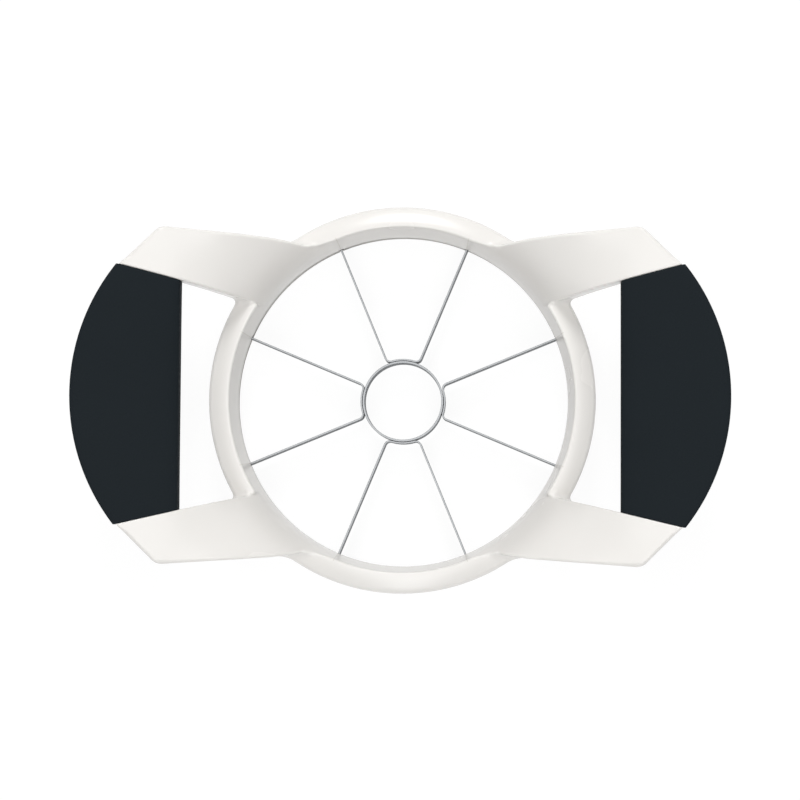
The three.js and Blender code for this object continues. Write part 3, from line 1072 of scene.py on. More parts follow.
@dataclass
class SoftGrip:
    """A soft grip moulded round one bar of the frame, between two arms.

    Its top face is nearly flat with tight edges, and its underside is round for the fingers.
    """

    shape: GripShape
    sections: int = 90
    points: int = 120
    fine_points: int = 8001
    top_power: float = 8
    under_power: float = 3.2
    bore_power: float = 16
    face_inset: float = 0.07 * MM
    end_round: float = 0.15 * MM
    end_steps: int = 2
    sharp_angle: float = 35

    def loop(self, top_power: float, under_power: float) -> Array:
        """Evenly spaced points round an outline from -1 to 1, fuller for a higher power.

        Args:
            top_power: How full the upper half is.
            under_power: How full the lower half is.

        Returns:
            Rows of two numbers: the place across the grip and the place upwards.
        """
        turn = np.linspace(0, 2 * math.pi, self.fine_points)
        power = np.where(np.sin(turn) > 0, top_power, under_power)
        bent = [np.sign(f(turn)) * np.abs(f(turn)) ** (2 / power) for f in (np.cos, np.sin)]
        rise = np.where(bent[1] > 0, self.shape.edge_drop, self.shape.thickness - self.shape.edge_drop)
        half_width = (self.shape.outer - self.shape.inner) / 2
        steps = np.hypot(np.diff(bent[0]) * half_width, np.diff(bent[1] * rise))
        gone = np.concatenate([[0], np.cumsum(steps)])
        wanted = np.arange(self.points) / self.points * gone[-1]
        return np.stack([np.interp(wanted, gone, side) for side in bent], axis=1)

    def stations(self) -> list[Point]:
        """Places along the grip from -1 to 1, and how much the section draws in there.

        Returns:
            A place along the grip and a distance drawn in, for each section.
        """
        tip_y = float(self.shape.end_y(self.shape.tip))
        ends = []
        for step in range(self.end_steps + 1):
            angle = math.pi / 2 * step / self.end_steps
            back = self.end_round * (1 - math.sin(angle)) / tip_y
            ends.append((1 - back, self.end_round * (1 - math.cos(angle))))
        plain = np.linspace(-ends[0][0], ends[0][0], self.sections)[1:-1]
        start = [(-place, inset) for place, inset in reversed(ends)]
        return start + [(float(place), 0.0) for place in plain] + ends

    def skin(self, powers: Point, insets: Triple, draws_in: bool) -> Array:
        """Points of one skin, as sections of points.

        Args:
            powers: How full the upper and the lower half of the section are.
            insets: How far the skin lies inside the inner edge, the outer edge and the faces.
            draws_in: Whether the skin is rounded at the grip's ends.

        Returns:
            The points, one row of points for each section.
        """
        shape = self.shape
        loop = self.loop(*powers)
        rows = []
        width = shape.outer - shape.inner
        for along, drawn in self.stations():
            pulled = drawn if draws_in else 0
            low = (insets[0] + pulled) / width
            high = 1 - (insets[1] + pulled) / width
            across = low + (high - low) * (loop[:, 0] + 1) / 2
            x, y = shape.place(across, np.full(self.points, along))
            face = insets[2] + pulled
            widest = max(shape.edge_drop, face)
            rise = np.where(loop[:, 1] > 0, widest - face, shape.thickness - face - widest)
            z = shape.ramp.height(x, y) - widest + loop[:, 1] * rise
            rows.append(np.stack([x, y, z], axis=1))
        return np.array(rows)

    def mesh(self, name: str) -> bpy.types.Mesh:
        """The right grip: its outside, the bore for the bar, and a flat end at each arm.

        Args:
            name: The mesh's name.

        Returns:
            The mesh.
        """
        shape = self.shape
        bar = (shape.bar_inner_inset, shape.bar_outer_inset, shape.skin)
        outside = self.skin((self.top_power, self.under_power), (0, 0, self.face_inset), True)
        bore = self.skin((self.bore_power, self.bore_power), bar, False)
        rows = np.concatenate([outside, bore[::-1]])
        return mesh_of(name, rows.reshape(-1, 3), wrapped_faces(len(rows), self.points))

    def build(self, name: str, side: int) -> bpy.types.Object:
        """Makes the grip on the right, or on the left where side is -1.

        Args:
            name: The piece's name.
            side: 1 for the grip on the right and -1 for the one on the left.

        Returns:
            The piece.
        """
        mesh = self.mesh(name)
        if side < 0:
            mesh.transform(Matrix.Diagonal((-1, 1, 1, 1)))
        return finished_piece(mesh, self.sharp_angle)


def finished_piece(mesh: bpy.types.Mesh, sharp_angle: float) -> bpy.types.Object:
    """Turns a closed mesh's faces outwards, shades it and puts it in the scene.

    Args:
        mesh: The mesh, at its place.
        sharp_angle: Edges that bend by more than this many degrees stay sharp.

    Returns:
        The piece.
    """
    shell = bmesh.new()
    shell.from_mesh(mesh)
    bmesh.ops.recalc_face_normals(shell, faces=shell.faces)
    if shell.calc_volume(signed=True) < 0:
        bmesh.ops.reverse_faces(shell, faces=shell.faces)
    shell.to_mesh(mesh)
    shell.free()
    mesh.shade_smooth()
    mesh.set_sharp_from_angle(angle=math.radians(sharp_angle))
    return in_scene(mesh.name, mesh)


# Steel


@dataclass(frozen=True)
class StripSection:
    """Upright section of a ground steel strip, whose lower edge is sharp."""

    thickness: float
    bottom: float
    top: float
    bevel: float = 1.6 * MM
    edge: float = 0.1 * MM
    edge_place: float = 0.5
    top_round: float = 0.07 * MM

    def named_sizes(self) -> dict[str, float]:
        """Works out the places of the section's corners across and up the strip.

        Returns:
            A value for each named input of the strip's node tree.
        """
        half = self.thickness / 2
        edge = -half + self.edge / 2 + self.edge_place * (self.thickness - self.edge)
        return {
            "Left": -half,
            "Right": half,
            "Edge left": edge - self.edge / 2,
            "Edge right": edge + self.edge / 2,
            "Round left": -half + self.top_round,
            "Round right": half - self.top_round,
            "Bottom": -self.bottom,
            "Bevel top": -self.bottom - self.bevel,
            "Round start": self.top_round - self.top,
            "Top": -self.top,
        }


@dataclass
class StripTree:
    """Geometry Nodes that draw a strip's section along a line and repeat it round the axis."""

    name: str
    material: bpy.types.Material
    sizes: dict[str, float]
    copies: int
    closed: bool
    sharp_angle: float = 25

    def build(self, path: Sequence[Point]) -> bpy.types.Object:
        """Draws the strip along a path.

        Args:
            path: Points of the strip's middle line, seen from above.

        Returns:
            The piece, as a plain mesh.
        """
        count = len(path)
        pairs = [(i, (i + 1) % count) for i in range(count if self.closed else count - 1)]
        line = bpy.data.meshes.new(self.name + "_line")
        line.from_pydata([(x, y, 0) for x, y in path], pairs, [])
        carrier = in_scene(line.name, line)
        tree = self.tree()
        modifier = carrier.modifiers.new("strip", "NODES")
        modifier.node_group = tree
        given = {**self.sizes, "Copies": self.copies}
        for item in tree.interface.items_tree:
            if item.name in given:
                modifier[item.identifier] = given[item.name]
        return finished_piece(plain_mesh(carrier, self.name), self.sharp_angle)

    def tree(self) -> bpy.types.NodeTree:
        """Builds the node tree with its named inputs.

        Returns:
            The node tree.
        """
        tree = bpy.data.node_groups.new(self.name + "_strip", "GeometryNodeTree")
        kinds = {"Line": "Geometry", **dict.fromkeys(self.sizes, "Float"), "Copies": "Int"}
        for name, kind in kinds.items():
            tree.interface.new_socket(name, in_out="INPUT", socket_type=f"NodeSocket{kind}")
        tree.interface.new_socket("Strip", in_out="OUTPUT", socket_type="NodeSocketGeometry")
        given = add_node(tree, "NodeGroupInput").outputs
        curve = add_node(tree, "GeometryNodeMeshToCurve", {0: given["Line"]})
        upright = add_node(tree, "GeometryNodeSetCurveNormal", {"Curve": curve.outputs[0]}, mode="Z_UP")
        sweep = {"Curve": upright.outputs[0], "Profile Curve": self.section(tree, given), "Fill Caps": True}
        swept = add_node(tree, "GeometryNodeCurveToMesh", sweep)
        spots = add_node(tree, "GeometryNodePoints", {"Count": given["Copies"]})
        number = add_node(tree, "GeometryNodeInputIndex").outputs[0]
        step = add_node(tree, "ShaderNodeMath", {0: 2 * math.pi, 1: given["Copies"]}, operation="DIVIDE")
        turn = add_node(tree, "ShaderNodeMath", {0: number, 1: step.outputs[0]}, operation="MULTIPLY")
        euler = add_node(tree, "ShaderNodeCombineXYZ", {"Z": turn.outputs[0]})
        rotation = add_node(tree, "FunctionNodeEulerToRotation", {0: euler.outputs[0]})
        copy = {"Points": spots.outputs[0], "Instance": swept.outputs[0], "Rotation": rotation.outputs[0]}
        repeated = add_node(tree, "GeometryNodeInstanceOnPoints", copy)
        plain = add_node(tree, "GeometryNodeRealizeInstances", {0: repeated.outputs[0]})
        dressed = add_node(tree, "GeometryNodeSetMaterial", {0: plain.outputs[0], "Material": self.material})
        add_node(tree, "NodeGroupOutput", {0: dressed.outputs[0]})
        return tree

    def section(self, tree: bpy.types.NodeTree, given: bpy.types.bpy_prop_collection) -> Socket:
        """Adds the section's closed outline, whose corners follow the named sizes.

        Args:
            tree: The strip's node tree.
            given: Sockets of the tree's named inputs.

        Returns:
            The outline's socket.
        """
        corners = (
            ("Edge left", "Bottom"),
            ("Edge right", "Bottom"),
            ("Right", "Bevel top"),
            ("Right", "Round start"),
            ("Round right", "Top"),
            ("Round left", "Top"),
            ("Left", "Round start"),
            ("Left", "Bevel top"),
        )
        ring = add_node(tree, "GeometryNodeCurvePrimitiveCircle", {"Resolution": len(corners)})
        number = add_node(tree, "GeometryNodeInputIndex").outputs[0]
        places = add_node(tree, "GeometryNodeIndexSwitch", {"Index": number}, data_type="VECTOR")
        while len(places.index_switch_items) < len(corners):
            places.index_switch_items.new()
        for i, (side, height) in enumerate(corners):
            corner = add_node(tree, "ShaderNodeCombineXYZ", {"X": given[side], "Y": given[height]})
            tree.links.new(corner.outputs[0], places.inputs[i + 1])
        placed = {"Geometry": ring.outputs["Curve"], "Position": places.outputs[0]}
        return add_node(tree, "GeometryNodeSetPosition", placed).outputs[0]


def arc(centre: Point, radius: float, start: float, end: float, steps: int) -> list[Point]:
    """Points along a circle's arc, from one angle to another."""
    turns = np.linspace(start, end, steps + 1)
    return [(centre[0] + radius * math.cos(t), centre[1] + radius * math.sin(t)) for t in turns]


@dataclass
class BladeStrips:
    """Four bent strips, each with two blades, an arc on the core ring and a tab at each end."""

    strip_count: int = 4
    thickness: float = 0.5 * MM
    bottom: float = 1.5 * MM
    top: float = 9.8 * MM
    arc_radius: float = 12.1 * MM
    core_bend: float = 1.6 * MM
    tab_radius: float = 50.95 * MM
    tab_bend: float = 0.8 * MM
    tab_length: float = 4 * MM
    arc_steps: int = 12
    bend_steps: int = 10
    tab_steps: int = 8

    def half_line(self) -> list[Point]:
        """Plan line from the middle of a strip's arc to the end of its tab.

        Returns:
            The points of the line.
        """
        leg = math.pi / self.strip_count / 2
        square = leg + math.pi / 2
        core_end = leg - math.asin(self.core_bend / (self.arc_radius + self.core_bend))
        tab_start = leg - math.asin(self.tab_bend / (self.tab_radius - self.tab_bend))
        tab_end = tab_start - self.tab_length / self.tab_radius
        core_far = self.arc_radius + self.core_bend
        tab_far = self.tab_radius - self.tab_bend
        core_centre = (core_far * math.cos(core_end), core_far * math.sin(core_end))
        tab_centre = (tab_far * math.cos(tab_start), tab_far * math.sin(tab_start))
        line = arc((0, 0), self.arc_radius, 0, core_end, self.arc_steps)
        line += arc(core_centre, self.core_bend, core_end + math.pi, square, self.bend_steps)[1:]
        line += arc(tab_centre, self.tab_bend, square, tab_start, self.bend_steps)
        return line + arc((0, 0), self.tab_radius, tab_start, tab_end, self.tab_steps)[1:]

    def build(self, material: bpy.types.Material) -> bpy.types.Object:
        """Draws the four strips.

        Args:
            material: Their steel.

        Returns:
            The four strips as one piece.
        """
        half = self.half_line()
        line = [(x, -y) for x, y in reversed(half[1:])] + half
        section = StripSection(self.thickness, self.bottom, self.top)
        strips = StripTree("steel_blades", material, section.named_sizes(), self.strip_count, closed=False)
        return strips.build(line)


@dataclass
class CoreRing:
    """The closed band that cuts out the core, sharp below."""

    outer_radius: float = 11.75 * MM
    thickness: float = 0.6 * MM
    bottom: float = 1.2 * MM
    top: float = 10.1 * MM
    facets: int = 144

    def build(self, material: bpy.types.Material) -> bpy.types.Object:
        """Draws the band round the axis.

        Args:
            material: Its steel.

        Returns:
            The piece.
        """
        middle = self.outer_radius - self.thickness / 2
        line = arc((0, 0), middle, 0, 2 * math.pi, self.facets)[:-1]
        section = StripSection(self.thickness, self.bottom, self.top, edge_place=1)
        band = StripTree("steel_core_ring", material, section.named_sizes(), copies=1, closed=True)
        return band.build(line)


# Ring that closes the channel


@dataclass
class ClampRing:
    """The plain ring that closes the channel from below and holds the blades' tabs."""

    throat_radius: float = 48.7 * MM
    inner_radius: float = 51.4 * MM
    outer_radius: float = 52.6 * MM
    flange: float = 1.2 * MM
    top: float = 9 * MM
    edge_round: float = 0.2 * MM
    round_steps: int = 4
    facets: int = 256
    sharp_angle: float = 40

    def section(self) -> list[Point]:
        """The L section with rounded corners, as distances from the axis and heights.

        Returns:
            The points of the section in turn.
        """
        corners = (
            (self.throat_radius, 0),
            (self.outer_radius, 0),
            (self.outer_radius, self.top),
            (self.inner_radius, self.top),
            (self.inner_radius, self.flange),
            (self.throat_radius, self.flange),
        )
        line = []
        for i, corner in enumerate(corners):
            here = np.array(corner)
            before = np.array(corners[i - 1]) - here
            after = np.array(corners[(i + 1) % len(corners)]) - here
            before, after = before / np.linalg.norm(before), after / np.linalg.norm(after)
            for step in range(self.round_steps + 1):
                turn = math.pi / 2 * step / self.round_steps
                reach = before * (1 - math.sin(turn)) + after * (1 - math.cos(turn))
                line.append(tuple(here + self.edge_round * reach))
        return line

    def build(self) -> bpy.types.Object:
        """Turns the section round the axis.

        Returns:
            The piece.
        """
        section = self.section()
        turns = 2 * math.pi * np.arange(self.facets) / self.facets
        rows = [[(r * math.cos(t), r * math.sin(t), z) for r, z in section] for t in turns]
        faces = wrapped_faces(self.facets, len(section))
        mesh = mesh_of("white_clamp_ring", np.array(rows).reshape(-1, 3), faces)
        return finished_piece(mesh, self.sharp_angle)


# Finishes. In a Mix node, socket 0 is the share, 2 and 3 are its two numbers and 6 and 7 its
# two colours, and output 0 is the mixed number and 2 the mixed colour.


def new_material(name: str) -> bpy.types.Material:
    """Makes a material whose node tree is still empty.

    Args:
        name: The material's name.

    Returns:
        The material.
    """
    material = bpy.data.materials.new(name)
    material.use_nodes = True
    material.node_tree.nodes.clear()
    return material


@dataclass(frozen=True)
class Finish(ABC):
    """A finish of one Principled shader, with patterns that are fixed to the object."""

    name: str

    @abstractmethod
    def shader_inputs(self, tree: bpy.types.NodeTree, place: Socket) -> dict[str, object]:
        """Adds the finish's patterns.

        Args:
            tree: The material's node tree.
            place: Socket of the place on the object, in metres.

        Returns:
            The shader's inputs: the socket of a pattern, or a value that is the same all over.
        """

    def build(self) -> bpy.types.Material:
        """Makes the material.

        Returns:
            The material.
        """
        material = new_material(self.name)
        tree = material.node_tree
        place = add_node(tree, "ShaderNodeTexCoord").outputs["Object"]
        shader = add_node(tree, "ShaderNodeBsdfPrincipled", self.shader_inputs(tree, place))
        add_node(tree, "ShaderNodeOutputMaterial", {"Surface": shader.outputs[0]})
        return material


@dataclass(frozen=True)
class MouldedWhiteAbs(Finish):
    """White ABS from a polished steel mould.

    The eye sees a clean, slightly warm white with a soft, wide gloss, the faint ripple that
    moulded plastic has, and a fine upright line over each blade where the mould's parts met,
    painted darker as shade of the small step there.
    Under the lip the wall is matt, and its colour is greyer as painted shade, which shows as a thin line
    round the throat.
    """

    name: str = "moulded_white_abs"
    colour: str = "#f4f2ee"
    shade_colour: str = "#f0ede9"
    least_roughness: float = 0.22
    most_roughness: float = 0.3
    gloss: float = 0.5
    ior: float = 1.52
    ripple: float = 2.2 * MM
    ripple_depth: float = 0.006 * MM
    cloud: float = 30 * MM
    wall_radius: float = 50 * MM
    lip_height: float = 9.6 * MM
    line_count: int = 8
    line_half: float = 0.12 * MM
    # The line over each blade is where the mould's parts met, painted darker as shade of the small step
    # there.
    seam_line_painted_shade_colour: str = "#e6e2db"
    # The greyer colour under the lip is painted shade; the matt roughness and low gloss there are the
    # finish.
    under_lip_painted_shade_colour: str = "#c4c2bd"
    foot_roughness: float = 0.65
    foot_gloss: float = 0.1

    def shader_inputs(self, tree: bpy.types.NodeTree, place: Socket) -> dict[str, object]:
        """Adds the clouds, the ripple, the fine lines darkened as painted shade, and the matt band under the
        lip, greyed as painted shade.

        Args:
            tree: The material's node tree.
            place: Socket of the place on the object, in metres.

        Returns:
            The shader's inputs.
        """
        clouds = {"Vector": place, "Scale": pattern_scale(self.cloud), "Detail": 3.0}
        cloud = add_node(tree, "ShaderNodeTexNoise", clouds).outputs[0]
        line, foot = self.masks(tree, place)
        colour = linear_colour(self.colour)
        # The fine lines and the band under the lip are darkened here as painted shade.
        for share, other in (
            (cloud, self.shade_colour),
            (line, self.seam_line_painted_shade_colour),
            (foot, self.under_lip_painted_shade_colour),
        ):
            parts = {0: share, 6: colour, 7: linear_colour(other)}
            colour = add_node(tree, "ShaderNodeMix", parts, data_type="RGBA").outputs[2]
        spread = {"Value": cloud, "To Min": self.least_roughness, "To Max": self.most_roughness}
        roughness = add_node(tree, "ShaderNodeMapRange", spread).outputs[0]
        waves = {"Vector": place, "Scale": pattern_scale(self.ripple), "Detail": 2.0}
        wave = add_node(tree, "ShaderNodeTexNoise", waves).outputs[0]
        bump = {"Height": wave, "Distance": self.ripple_depth, "Strength": 1.0}
        normal = add_node(tree, "ShaderNodeBump", bump).outputs[0]
        inputs = {"Base Color": colour, "Normal": normal, "IOR": self.ior}
        for socket, usual, at_foot in (
            ("Roughness", roughness, self.foot_roughness),
            ("Specular IOR Level", self.gloss, self.foot_gloss),
        ):
            parts = {0: foot, 2: usual, 3: at_foot}
            inputs[socket] = add_node(tree, "ShaderNodeMix", parts, data_type="FLOAT").outputs[0]
        return inputs

    def masks(self, tree: bpy.types.NodeTree, place: Socket) -> tuple[Socket, Socket]:
        """Adds masks of two places on the throat's wall.

        Args:
            tree: The material's node tree.
            place: Socket of the place on the object.

        Returns:
            A socket that is 1 on the fine lines, and one that is 1 under the lip.
        """
        x, y, height = add_node(tree, "ShaderNodeSeparateXYZ", {0: place}).outputs
        flat = add_node(tree, "ShaderNodeVectorMath", {0: place, 1: (1, 1, 0)}, operation="MULTIPLY")
        radius = add_node(tree, "ShaderNodeVectorMath", {0: flat.outputs[0]}, operation="LENGTH").outputs[1]
        step = 2 * math.pi / self.line_count
        distance = add_node(tree, "ShaderNodeMath", {0: y, 1: x}, operation="ARCTAN2").outputs[0]
        for operation, value in (
            ("ADD", 2 * math.pi),
            ("MODULO", step),
            ("SUBTRACT", step / 2),
            ("MULTIPLY", radius),
            ("ABSOLUTE", 0.0),
        ):
            parts = {0: distance, 1: value}
            distance = add_node(tree, "ShaderNodeMath", parts, operation=operation).outputs[0]
        on_line, on_wall, under_lip, over_lip = (
            add_node(tree, "ShaderNodeMath", {0: value, 1: limit}, operation=test).outputs[0]
            for value, limit, test in (
                (distance, self.line_half, "LESS_THAN"),
                (radius, self.wall_radius, "LESS_THAN"),
                (height, self.lip_height, "LESS_THAN"),
                (height, self.lip_height, "GREATER_THAN"),
            )
        )
        masks = []
        for mask, *others in ((on_line, on_wall, over_lip), (on_wall, under_lip)):
            for other in others:
                mask = add_node(tree, "ShaderNodeMath", {0: mask, 1: other}, operation="MULTIPLY").outputs[0]
            masks.append(mask)
        return masks[0], masks[1]


@dataclass(frozen=True)
class PlainWhiteAbs(Finish):
    """White ABS from an unpolished mould, for the part that is turned to the board.

    The eye sees a white that is duller and a little greyer than the frame's, with a fine,
    even grain.
    """

    name: str = "plain_moulded_white_abs"
    colour: str = "#efedea"
    shade_colour: str = "#e8e6e3"
    roughness: float = 0.5
    ior: float = 1.52
    # The real grain is finer, and is drawn so that it shows.
    grain: float = 0.5 * MM
    grain_depth: float = 0.01 * MM
    cloud: float = 18 * MM

    def shader_inputs(self, tree: bpy.types.NodeTree, place: Socket) -> dict[str, object]:
        """Adds the clouds and the grain.

        Args:
            tree: The material's node tree.
            place: Socket of the place on the object, in metres.

        Returns:
            The shader's inputs.
        """
        clouds = {"Vector": place, "Scale": pattern_scale(self.cloud), "Detail": 3.0}
        cloud = add_node(tree, "ShaderNodeTexNoise", clouds).outputs[0]
        tint = {0: cloud, 6: linear_colour(self.colour), 7: linear_colour(self.shade_colour)}
        grains = {"Vector": place, "Scale": pattern_scale(self.grain), "Detail": 1.0}
        grain = add_node(tree, "ShaderNodeTexNoise", grains).outputs[0]
        bump = {"Height": grain, "Distance": self.grain_depth, "Strength": 1.0}
        return {
            "Base Color": add_node(tree, "ShaderNodeMix", tint, data_type="RGBA").outputs[2],
            "Normal": add_node(tree, "ShaderNodeBump", bump).outputs[0],
            "Roughness": self.roughness,
            "IOR": self.ior,
        }


@dataclass(frozen=True)
class SparkErodedTpe(Finish):
    """Soft thermoplastic rubber from a mould with a spark-eroded face.

    The eye sees a dark, slightly bluish grey with next to no gloss, which gets its dull look
    from a fine, even grain, and fades a little where hands would hold it.
    """

    name: str = "spark_eroded_soft_tpe"
    colour: str = "#1a2024"
    worn_colour: str = "#1f2529"
    least_roughness: float = 0.62
    most_roughness: float = 0.78
    gloss: float = 0.08
    ior: float = 1.48
    # The real grain is about 0.1 mm, which is too fine to show, so it is drawn coarser.
    grain: float = 0.4 * MM
    grain_depth: float = 0.03 * MM
    cloud: float = 22 * MM

    def shader_inputs(self, tree: bpy.types.NodeTree, place: Socket) -> dict[str, object]:
        """Adds the clouds and the grain.

        Args:
            tree: The material's node tree.
            place: Socket of the place on the object, in metres.

        Returns:
            The shader's inputs.
        """
        clouds = {"Vector": place, "Scale": pattern_scale(self.cloud), "Detail": 4.0}
        cloud = add_node(tree, "ShaderNodeTexNoise", clouds).outputs[0]
        tint = {0: cloud, 6: linear_colour(self.colour), 7: linear_colour(self.worn_colour)}
        spread = {"Value": cloud, "To Min": self.least_roughness, "To Max": self.most_roughness}
        pits = {"Vector": place, "Scale": pattern_scale(self.grain), "Randomness": 1.0}
        pit = add_node(tree, "ShaderNodeTexVoronoi", pits, feature="SMOOTH_F1").outputs["Distance"]
        bump = {"Height": pit, "Distance": self.grain_depth, "Strength": 1.0}
        return {
            "Base Color": add_node(tree, "ShaderNodeMix", tint, data_type="RGBA").outputs[2],
            "Roughness": add_node(tree, "ShaderNodeMapRange", spread).outputs[0],
            "Normal": add_node(tree, "ShaderNodeBump", bump).outputs[0],
            "IOR": self.ior,
            "Specular IOR Level": self.gloss,
        }


@dataclass(frozen=True)
class GroundStainlessStrip(Finish):
    """Rolled stainless strip with a ground lower edge.

    The eye sees a light, cool grey metal with fine rolling lines along the strip, and on the
    ground bevel a brighter band with upright grinding marks.
    """

    name: str = "rolled_ground_stainless"
    colour: str = "#a8aaac"
    streak_colour: str = "#949698"
    edge_tint: str = "#8c8e90"
    rolled_roughness: float = 0.34
    ground_roughness: float = 0.24
    # The rolling lines and the grinding marks are finer in the real strip, and are drawn so
    # that they show.
    line_pitch: float = 0.25 * MM
    line_length: float = 9 * MM
    line_depth: float = 0.004 * MM
    ground_pitch: float = 0.2 * MM
    ground_top: float = 3.05 * MM

    def shader_inputs(self, tree: bpy.types.NodeTree, place: Socket) -> dict[str, object]:
        """Adds the rolling lines and, below their end, the grinding marks.

        Args:
            tree: The material's node tree.
            place: Socket of the place on the object, in metres.

        Returns:
            The shader's inputs.
        """
        along, line, mark = map(pattern_scale, (self.line_length, self.line_pitch, self.ground_pitch))
        patterns = []
        for scales in ((along, along, line), (mark, mark, along)):
            stretched = add_node(tree, "ShaderNodeMapping", {"Vector": place, "Scale": scales}).outputs[0]
            noise = {"Vector": stretched, "Scale": 1.0, "Detail": 3.0}
            patterns.append(add_node(tree, "ShaderNodeTexNoise", noise).outputs[0])
        height = add_node(tree, "ShaderNodeSeparateXYZ", {0: place}).outputs[2]
        low = {0: height, 1: self.ground_top}
        ground = add_node(tree, "ShaderNodeMath", low, operation="LESS_THAN").outputs[0]
        chosen = {0: ground, 2: patterns[0], 3: patterns[1]}
        streaks = add_node(tree, "ShaderNodeMix", chosen, data_type="FLOAT").outputs[0]
        tint = {0: streaks, 6: linear_colour(self.colour), 7: linear_colour(self.streak_colour)}
        spread = {"Value": ground, "To Min": self.rolled_roughness, "To Max": self.ground_roughness}
        bump = {"Height": streaks, "Distance": self.line_depth, "Strength": 1.0}
        return {
            "Base Color": add_node(tree, "ShaderNodeMix", tint, data_type="RGBA").outputs[2],
            "Roughness": add_node(tree, "ShaderNodeMapRange", spread).outputs[0],
            "Normal": add_node(tree, "ShaderNodeBump", bump).outputs[0],
            "Metallic": 1.0,
            "Specular Tint": linear_colour(self.edge_tint),
        }


# Studio and camera


@dataclass(frozen=True)
class LongSoftbox:
    """A stretch of the long softbox that arches over the object from front to rear."""

    name: str
    start: float
    end: float
    level: float
    half_width: float = 6
    distance: float = 1.1

    def build(self) -> None:
        """Hangs the softbox, between angles in degrees from straight up towards the rear."""
        middle = math.radians((self.start + self.end) / 2)
        lamp = bpy.data.lights.new(self.name, "AREA")
        lamp.shape = "RECTANGLE"
        lamp.size = 2 * self.distance * math.tan(math.radians(self.half_width))
        lamp.size_y = 2 * self.distance * math.tan(math.radians((self.end - self.start) / 2))
        lamp.energy = self.level * math.pi * lamp.size * lamp.size_y
        softbox = in_scene(self.name, lamp)
        softbox.location = (0, self.distance * math.sin(middle), self.distance * math.cos(middle))
        softbox.rotation_euler = (-middle, 0, 0)
        softbox.visible_camera = False


@dataclass(frozen=True)
class Studio:
    """A white floor and white surroundings in soft light, under a long softbox.

    A level of 1 is white. Gloss and steel see white surroundings near the floor's edge, and a
    greyer ceiling.
    """

    softboxes: tuple[LongSoftbox, ...] = (
        LongSoftbox("front_softbox", start=-65, end=-18, level=4.7),
        LongSoftbox("top_softbox", start=-18, end=18, level=1.55, half_width=30),
        LongSoftbox("rear_softbox", start=40, end=60, level=17),
    )
    ambient: float = 0.28
    ceiling: float = 0.3
    horizon: float = 1.2
    ceiling_range: Point = (0.2, 0.8)
    floor_half: float = 1.5
    floor_height: float = -0.1 * MM
    floor_colour: str = "#f2f2f2"
    floor_roughness: float = 0.9
    floor_level: float = 1.05
    shadow_share: float = 0.12

    def build(self) -> None:
        """Makes the floor, the world and the softboxes."""
        self.floor()
        self.world()
        for softbox in self.softboxes:
            softbox.build()

    @staticmethod
    def any_of(tree: bpy.types.NodeTree, kinds: Sequence[str]) -> Socket:
        """Adds a value that is 1 for rays of the given kinds.

        Args:
            tree: The node tree of a material or of the world.
            kinds: Names of the Light Path node's outputs.

        Returns:
            The value's socket.
        """
        rays = add_node(tree, "ShaderNodeLightPath").outputs
        seen = rays[kinds[0]]
        for kind in kinds[1:]:
            seen = add_node(tree, "ShaderNodeMath", {0: seen, 1: rays[kind]}, operation="MAXIMUM").outputs[0]
        return seen

    def floor(self) -> None:
        """Makes the floor, which shows white and keeps a little of the shadow."""
        half = self.floor_half
        corners = [(-half, -half), (half, -half), (half, half), (-half, half)]
        square = np.array([(x, y, self.floor_height) for x, y in corners])
        floor = in_scene("floor", mesh_of("floor", square, [(0, 1, 2, 3)]))
        material = new_material("matte_white_board")
        tree = material.node_tree
        matte = {"Base Color": linear_colour(self.floor_colour), "Roughness": self.floor_roughness}
        board = add_node(tree, "ShaderNodeBsdfPrincipled", matte).outputs[0]
        white = add_node(tree, "ShaderNodeEmission", {"Strength": self.floor_level}).outputs[0]
        seen = self.any_of(tree, ("Is Camera Ray", "Is Glossy Ray", "Is Transmission Ray"))
        parts = {0: seen, 1: 1 - self.shadow_share}
        share = add_node(tree, "ShaderNodeMath", parts, operation="MULTIPLY").outputs[0]
        mixed = add_node(tree, "ShaderNodeMixShader", {0: share, 1: board, 2: white})
        add_node(tree, "ShaderNodeOutputMaterial", {"Surface": mixed.outputs[0]})
        floor.data.materials.append(material)

    def world(self) -> None:
        """Makes the surroundings: white where they are seen, and softer as light."""
        world = bpy.data.worlds.new("white_studio")
        world.use_nodes = True
        # Its light depends on the kind of ray, so it isn't sampled as a lamp.
        world.cycles.sampling_method = "NONE"
        tree = world.node_tree
        tree.nodes.clear()
        direction = add_node(tree, "ShaderNodeTexCoord").outputs["Generated"]
        height = add_node(tree, "ShaderNodeSeparateXYZ", {0: direction}).outputs[2]
        rise = {
            "Value": height,
            "From Min": self.ceiling_range[0],
            "From Max": self.ceiling_range[1],
            "To Min": self.horizon,
            "To Max": self.ceiling,
        }
        gloss = add_node(tree, "ShaderNodeMapRange", rise, interpolation_type="SMOOTHSTEP").outputs[0]
        mirrored = {0: self.any_of(tree, ("Is Glossy Ray",)), 2: self.ambient, 3: gloss}
        level = add_node(tree, "ShaderNodeMix", mirrored, data_type="FLOAT").outputs[0]
        seen = {0: self.any_of(tree, ("Is Camera Ray", "Is Transmission Ray")), 2: level, 3: 1.0}
        strength = add_node(tree, "ShaderNodeMix", seen, data_type="FLOAT").outputs[0]
        light = add_node(tree, "ShaderNodeBackground", {"Color": (1, 1, 1, 1), "Strength": strength})
        add_node(tree, "ShaderNodeOutputWorld", {0: light.outputs[0]})
        bpy.context.scene.world = world


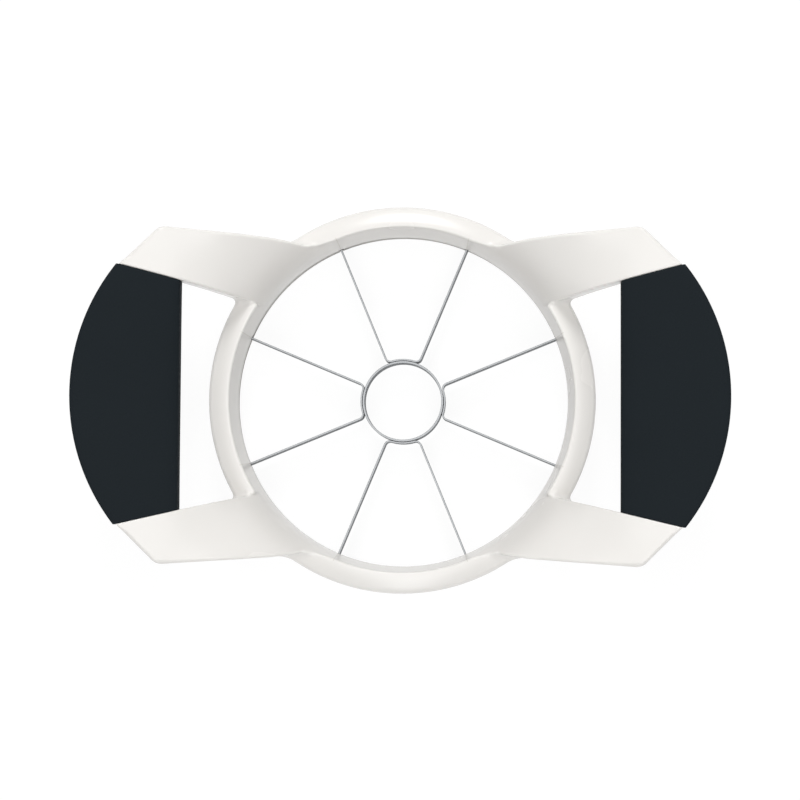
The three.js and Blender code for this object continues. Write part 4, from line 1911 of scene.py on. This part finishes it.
@dataclass(frozen=True)
class PhotoCamera:
    """The photograph's camera: nearly straight above, with its slight tilt and roll."""

    focal_px: float = 2200
    # Straight down, as pixels to the right and below the picture's middle at that focal length.
    down_px: Triple = (84, 128, 2200)
    roll: float = 0.35
    crest_px: Point = (401.35, 398.85)
    crest_height: float = 22 * MM
    distance: float = 627.1 * MM
    sensor: float = 36
    nearest: float = 10 * MM

    def build(self) -> None:
        """Makes the camera and turns the scene to it."""
        down = np.array(self.down_px) / np.linalg.norm(self.down_px)
        roll = math.radians(self.roll)
        level = np.array([math.cos(roll), math.sin(roll), 0])
        z_axis = -down
        x_axis = level - level.dot(z_axis) * z_axis
        x_axis /= np.linalg.norm(x_axis)
        turn = np.stack([x_axis, np.cross(z_axis, x_axis), z_axis], axis=1)
        middle = PHOTO_SIDE_PX / 2
        offset = [(at - middle) / self.focal_px * self.distance for at in self.crest_px]
        crest = np.array([*offset, self.distance])
        eye = turn.T @ (turn @ np.array([0, 0, self.crest_height]) - crest)
        matrix = Matrix((turn.T @ np.diag([1, -1, -1])).tolist()).to_4x4()
        matrix.translation = eye
        lens = bpy.data.cameras.new("photo_camera")
        lens.sensor_width = self.sensor
        lens.lens = self.focal_px / PHOTO_SIDE_PX * self.sensor
        lens.clip_start = self.nearest
        camera = in_scene("photo_camera", lens)
        camera.matrix_world = matrix
        bpy.context.scene.camera = camera


# Putting it together


def dress(piece: bpy.types.Object, material: bpy.types.Material, nodes: Sequence[str]) -> None:
    """Gives a piece its finish, puts it under the body and hides the solids that it stands for.

    Args:
        piece: The piece, at its place.
        material: Its finish.
        nodes: Names of the solids that it replaces.
    """
    # A piece that nodes draw has its finish already.
    if not piece.data.materials:
        piece.data.materials.append(material)
    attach(piece, BODY)
    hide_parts(*nodes)
    log.info("%s: %d faces, %s", piece.name, len(piece.data.polygons), material.name)


def main() -> None:
    """Builds the whole scene."""
    logging.basicConfig(level=logging.INFO)
    bpy.context.scene.view_settings.view_transform = "Standard"
    PhotoCamera().build()
    Studio().build()
    steel = GroundStainlessStrip().build()
    rubber = SparkErodedTpe().build()
    frame_moulding = FrameMoulding()
    dress(frame_moulding.build(), MouldedWhiteAbs().build(), ["frame_moulding"])
    dress(ClampRing().build(), PlainWhiteAbs().build(), ["blade_clamp_ring"])
    grip = SoftGrip(frame_moulding.grip_shape)
    for place, side in (("right", 1), ("left", -1)):
        dress(grip.build(f"soft_grip_{place}", side), rubber, [f"grip_{place}"])
    strips = [f"blade_strip_{place}" for place in ("right", "rear", "left", "front")]
    dress(BladeStrips().build(steel), steel, strips)
    dress(CoreRing().build(steel), steel, ["core_ring"])


if __name__ == "__main__":
    main()
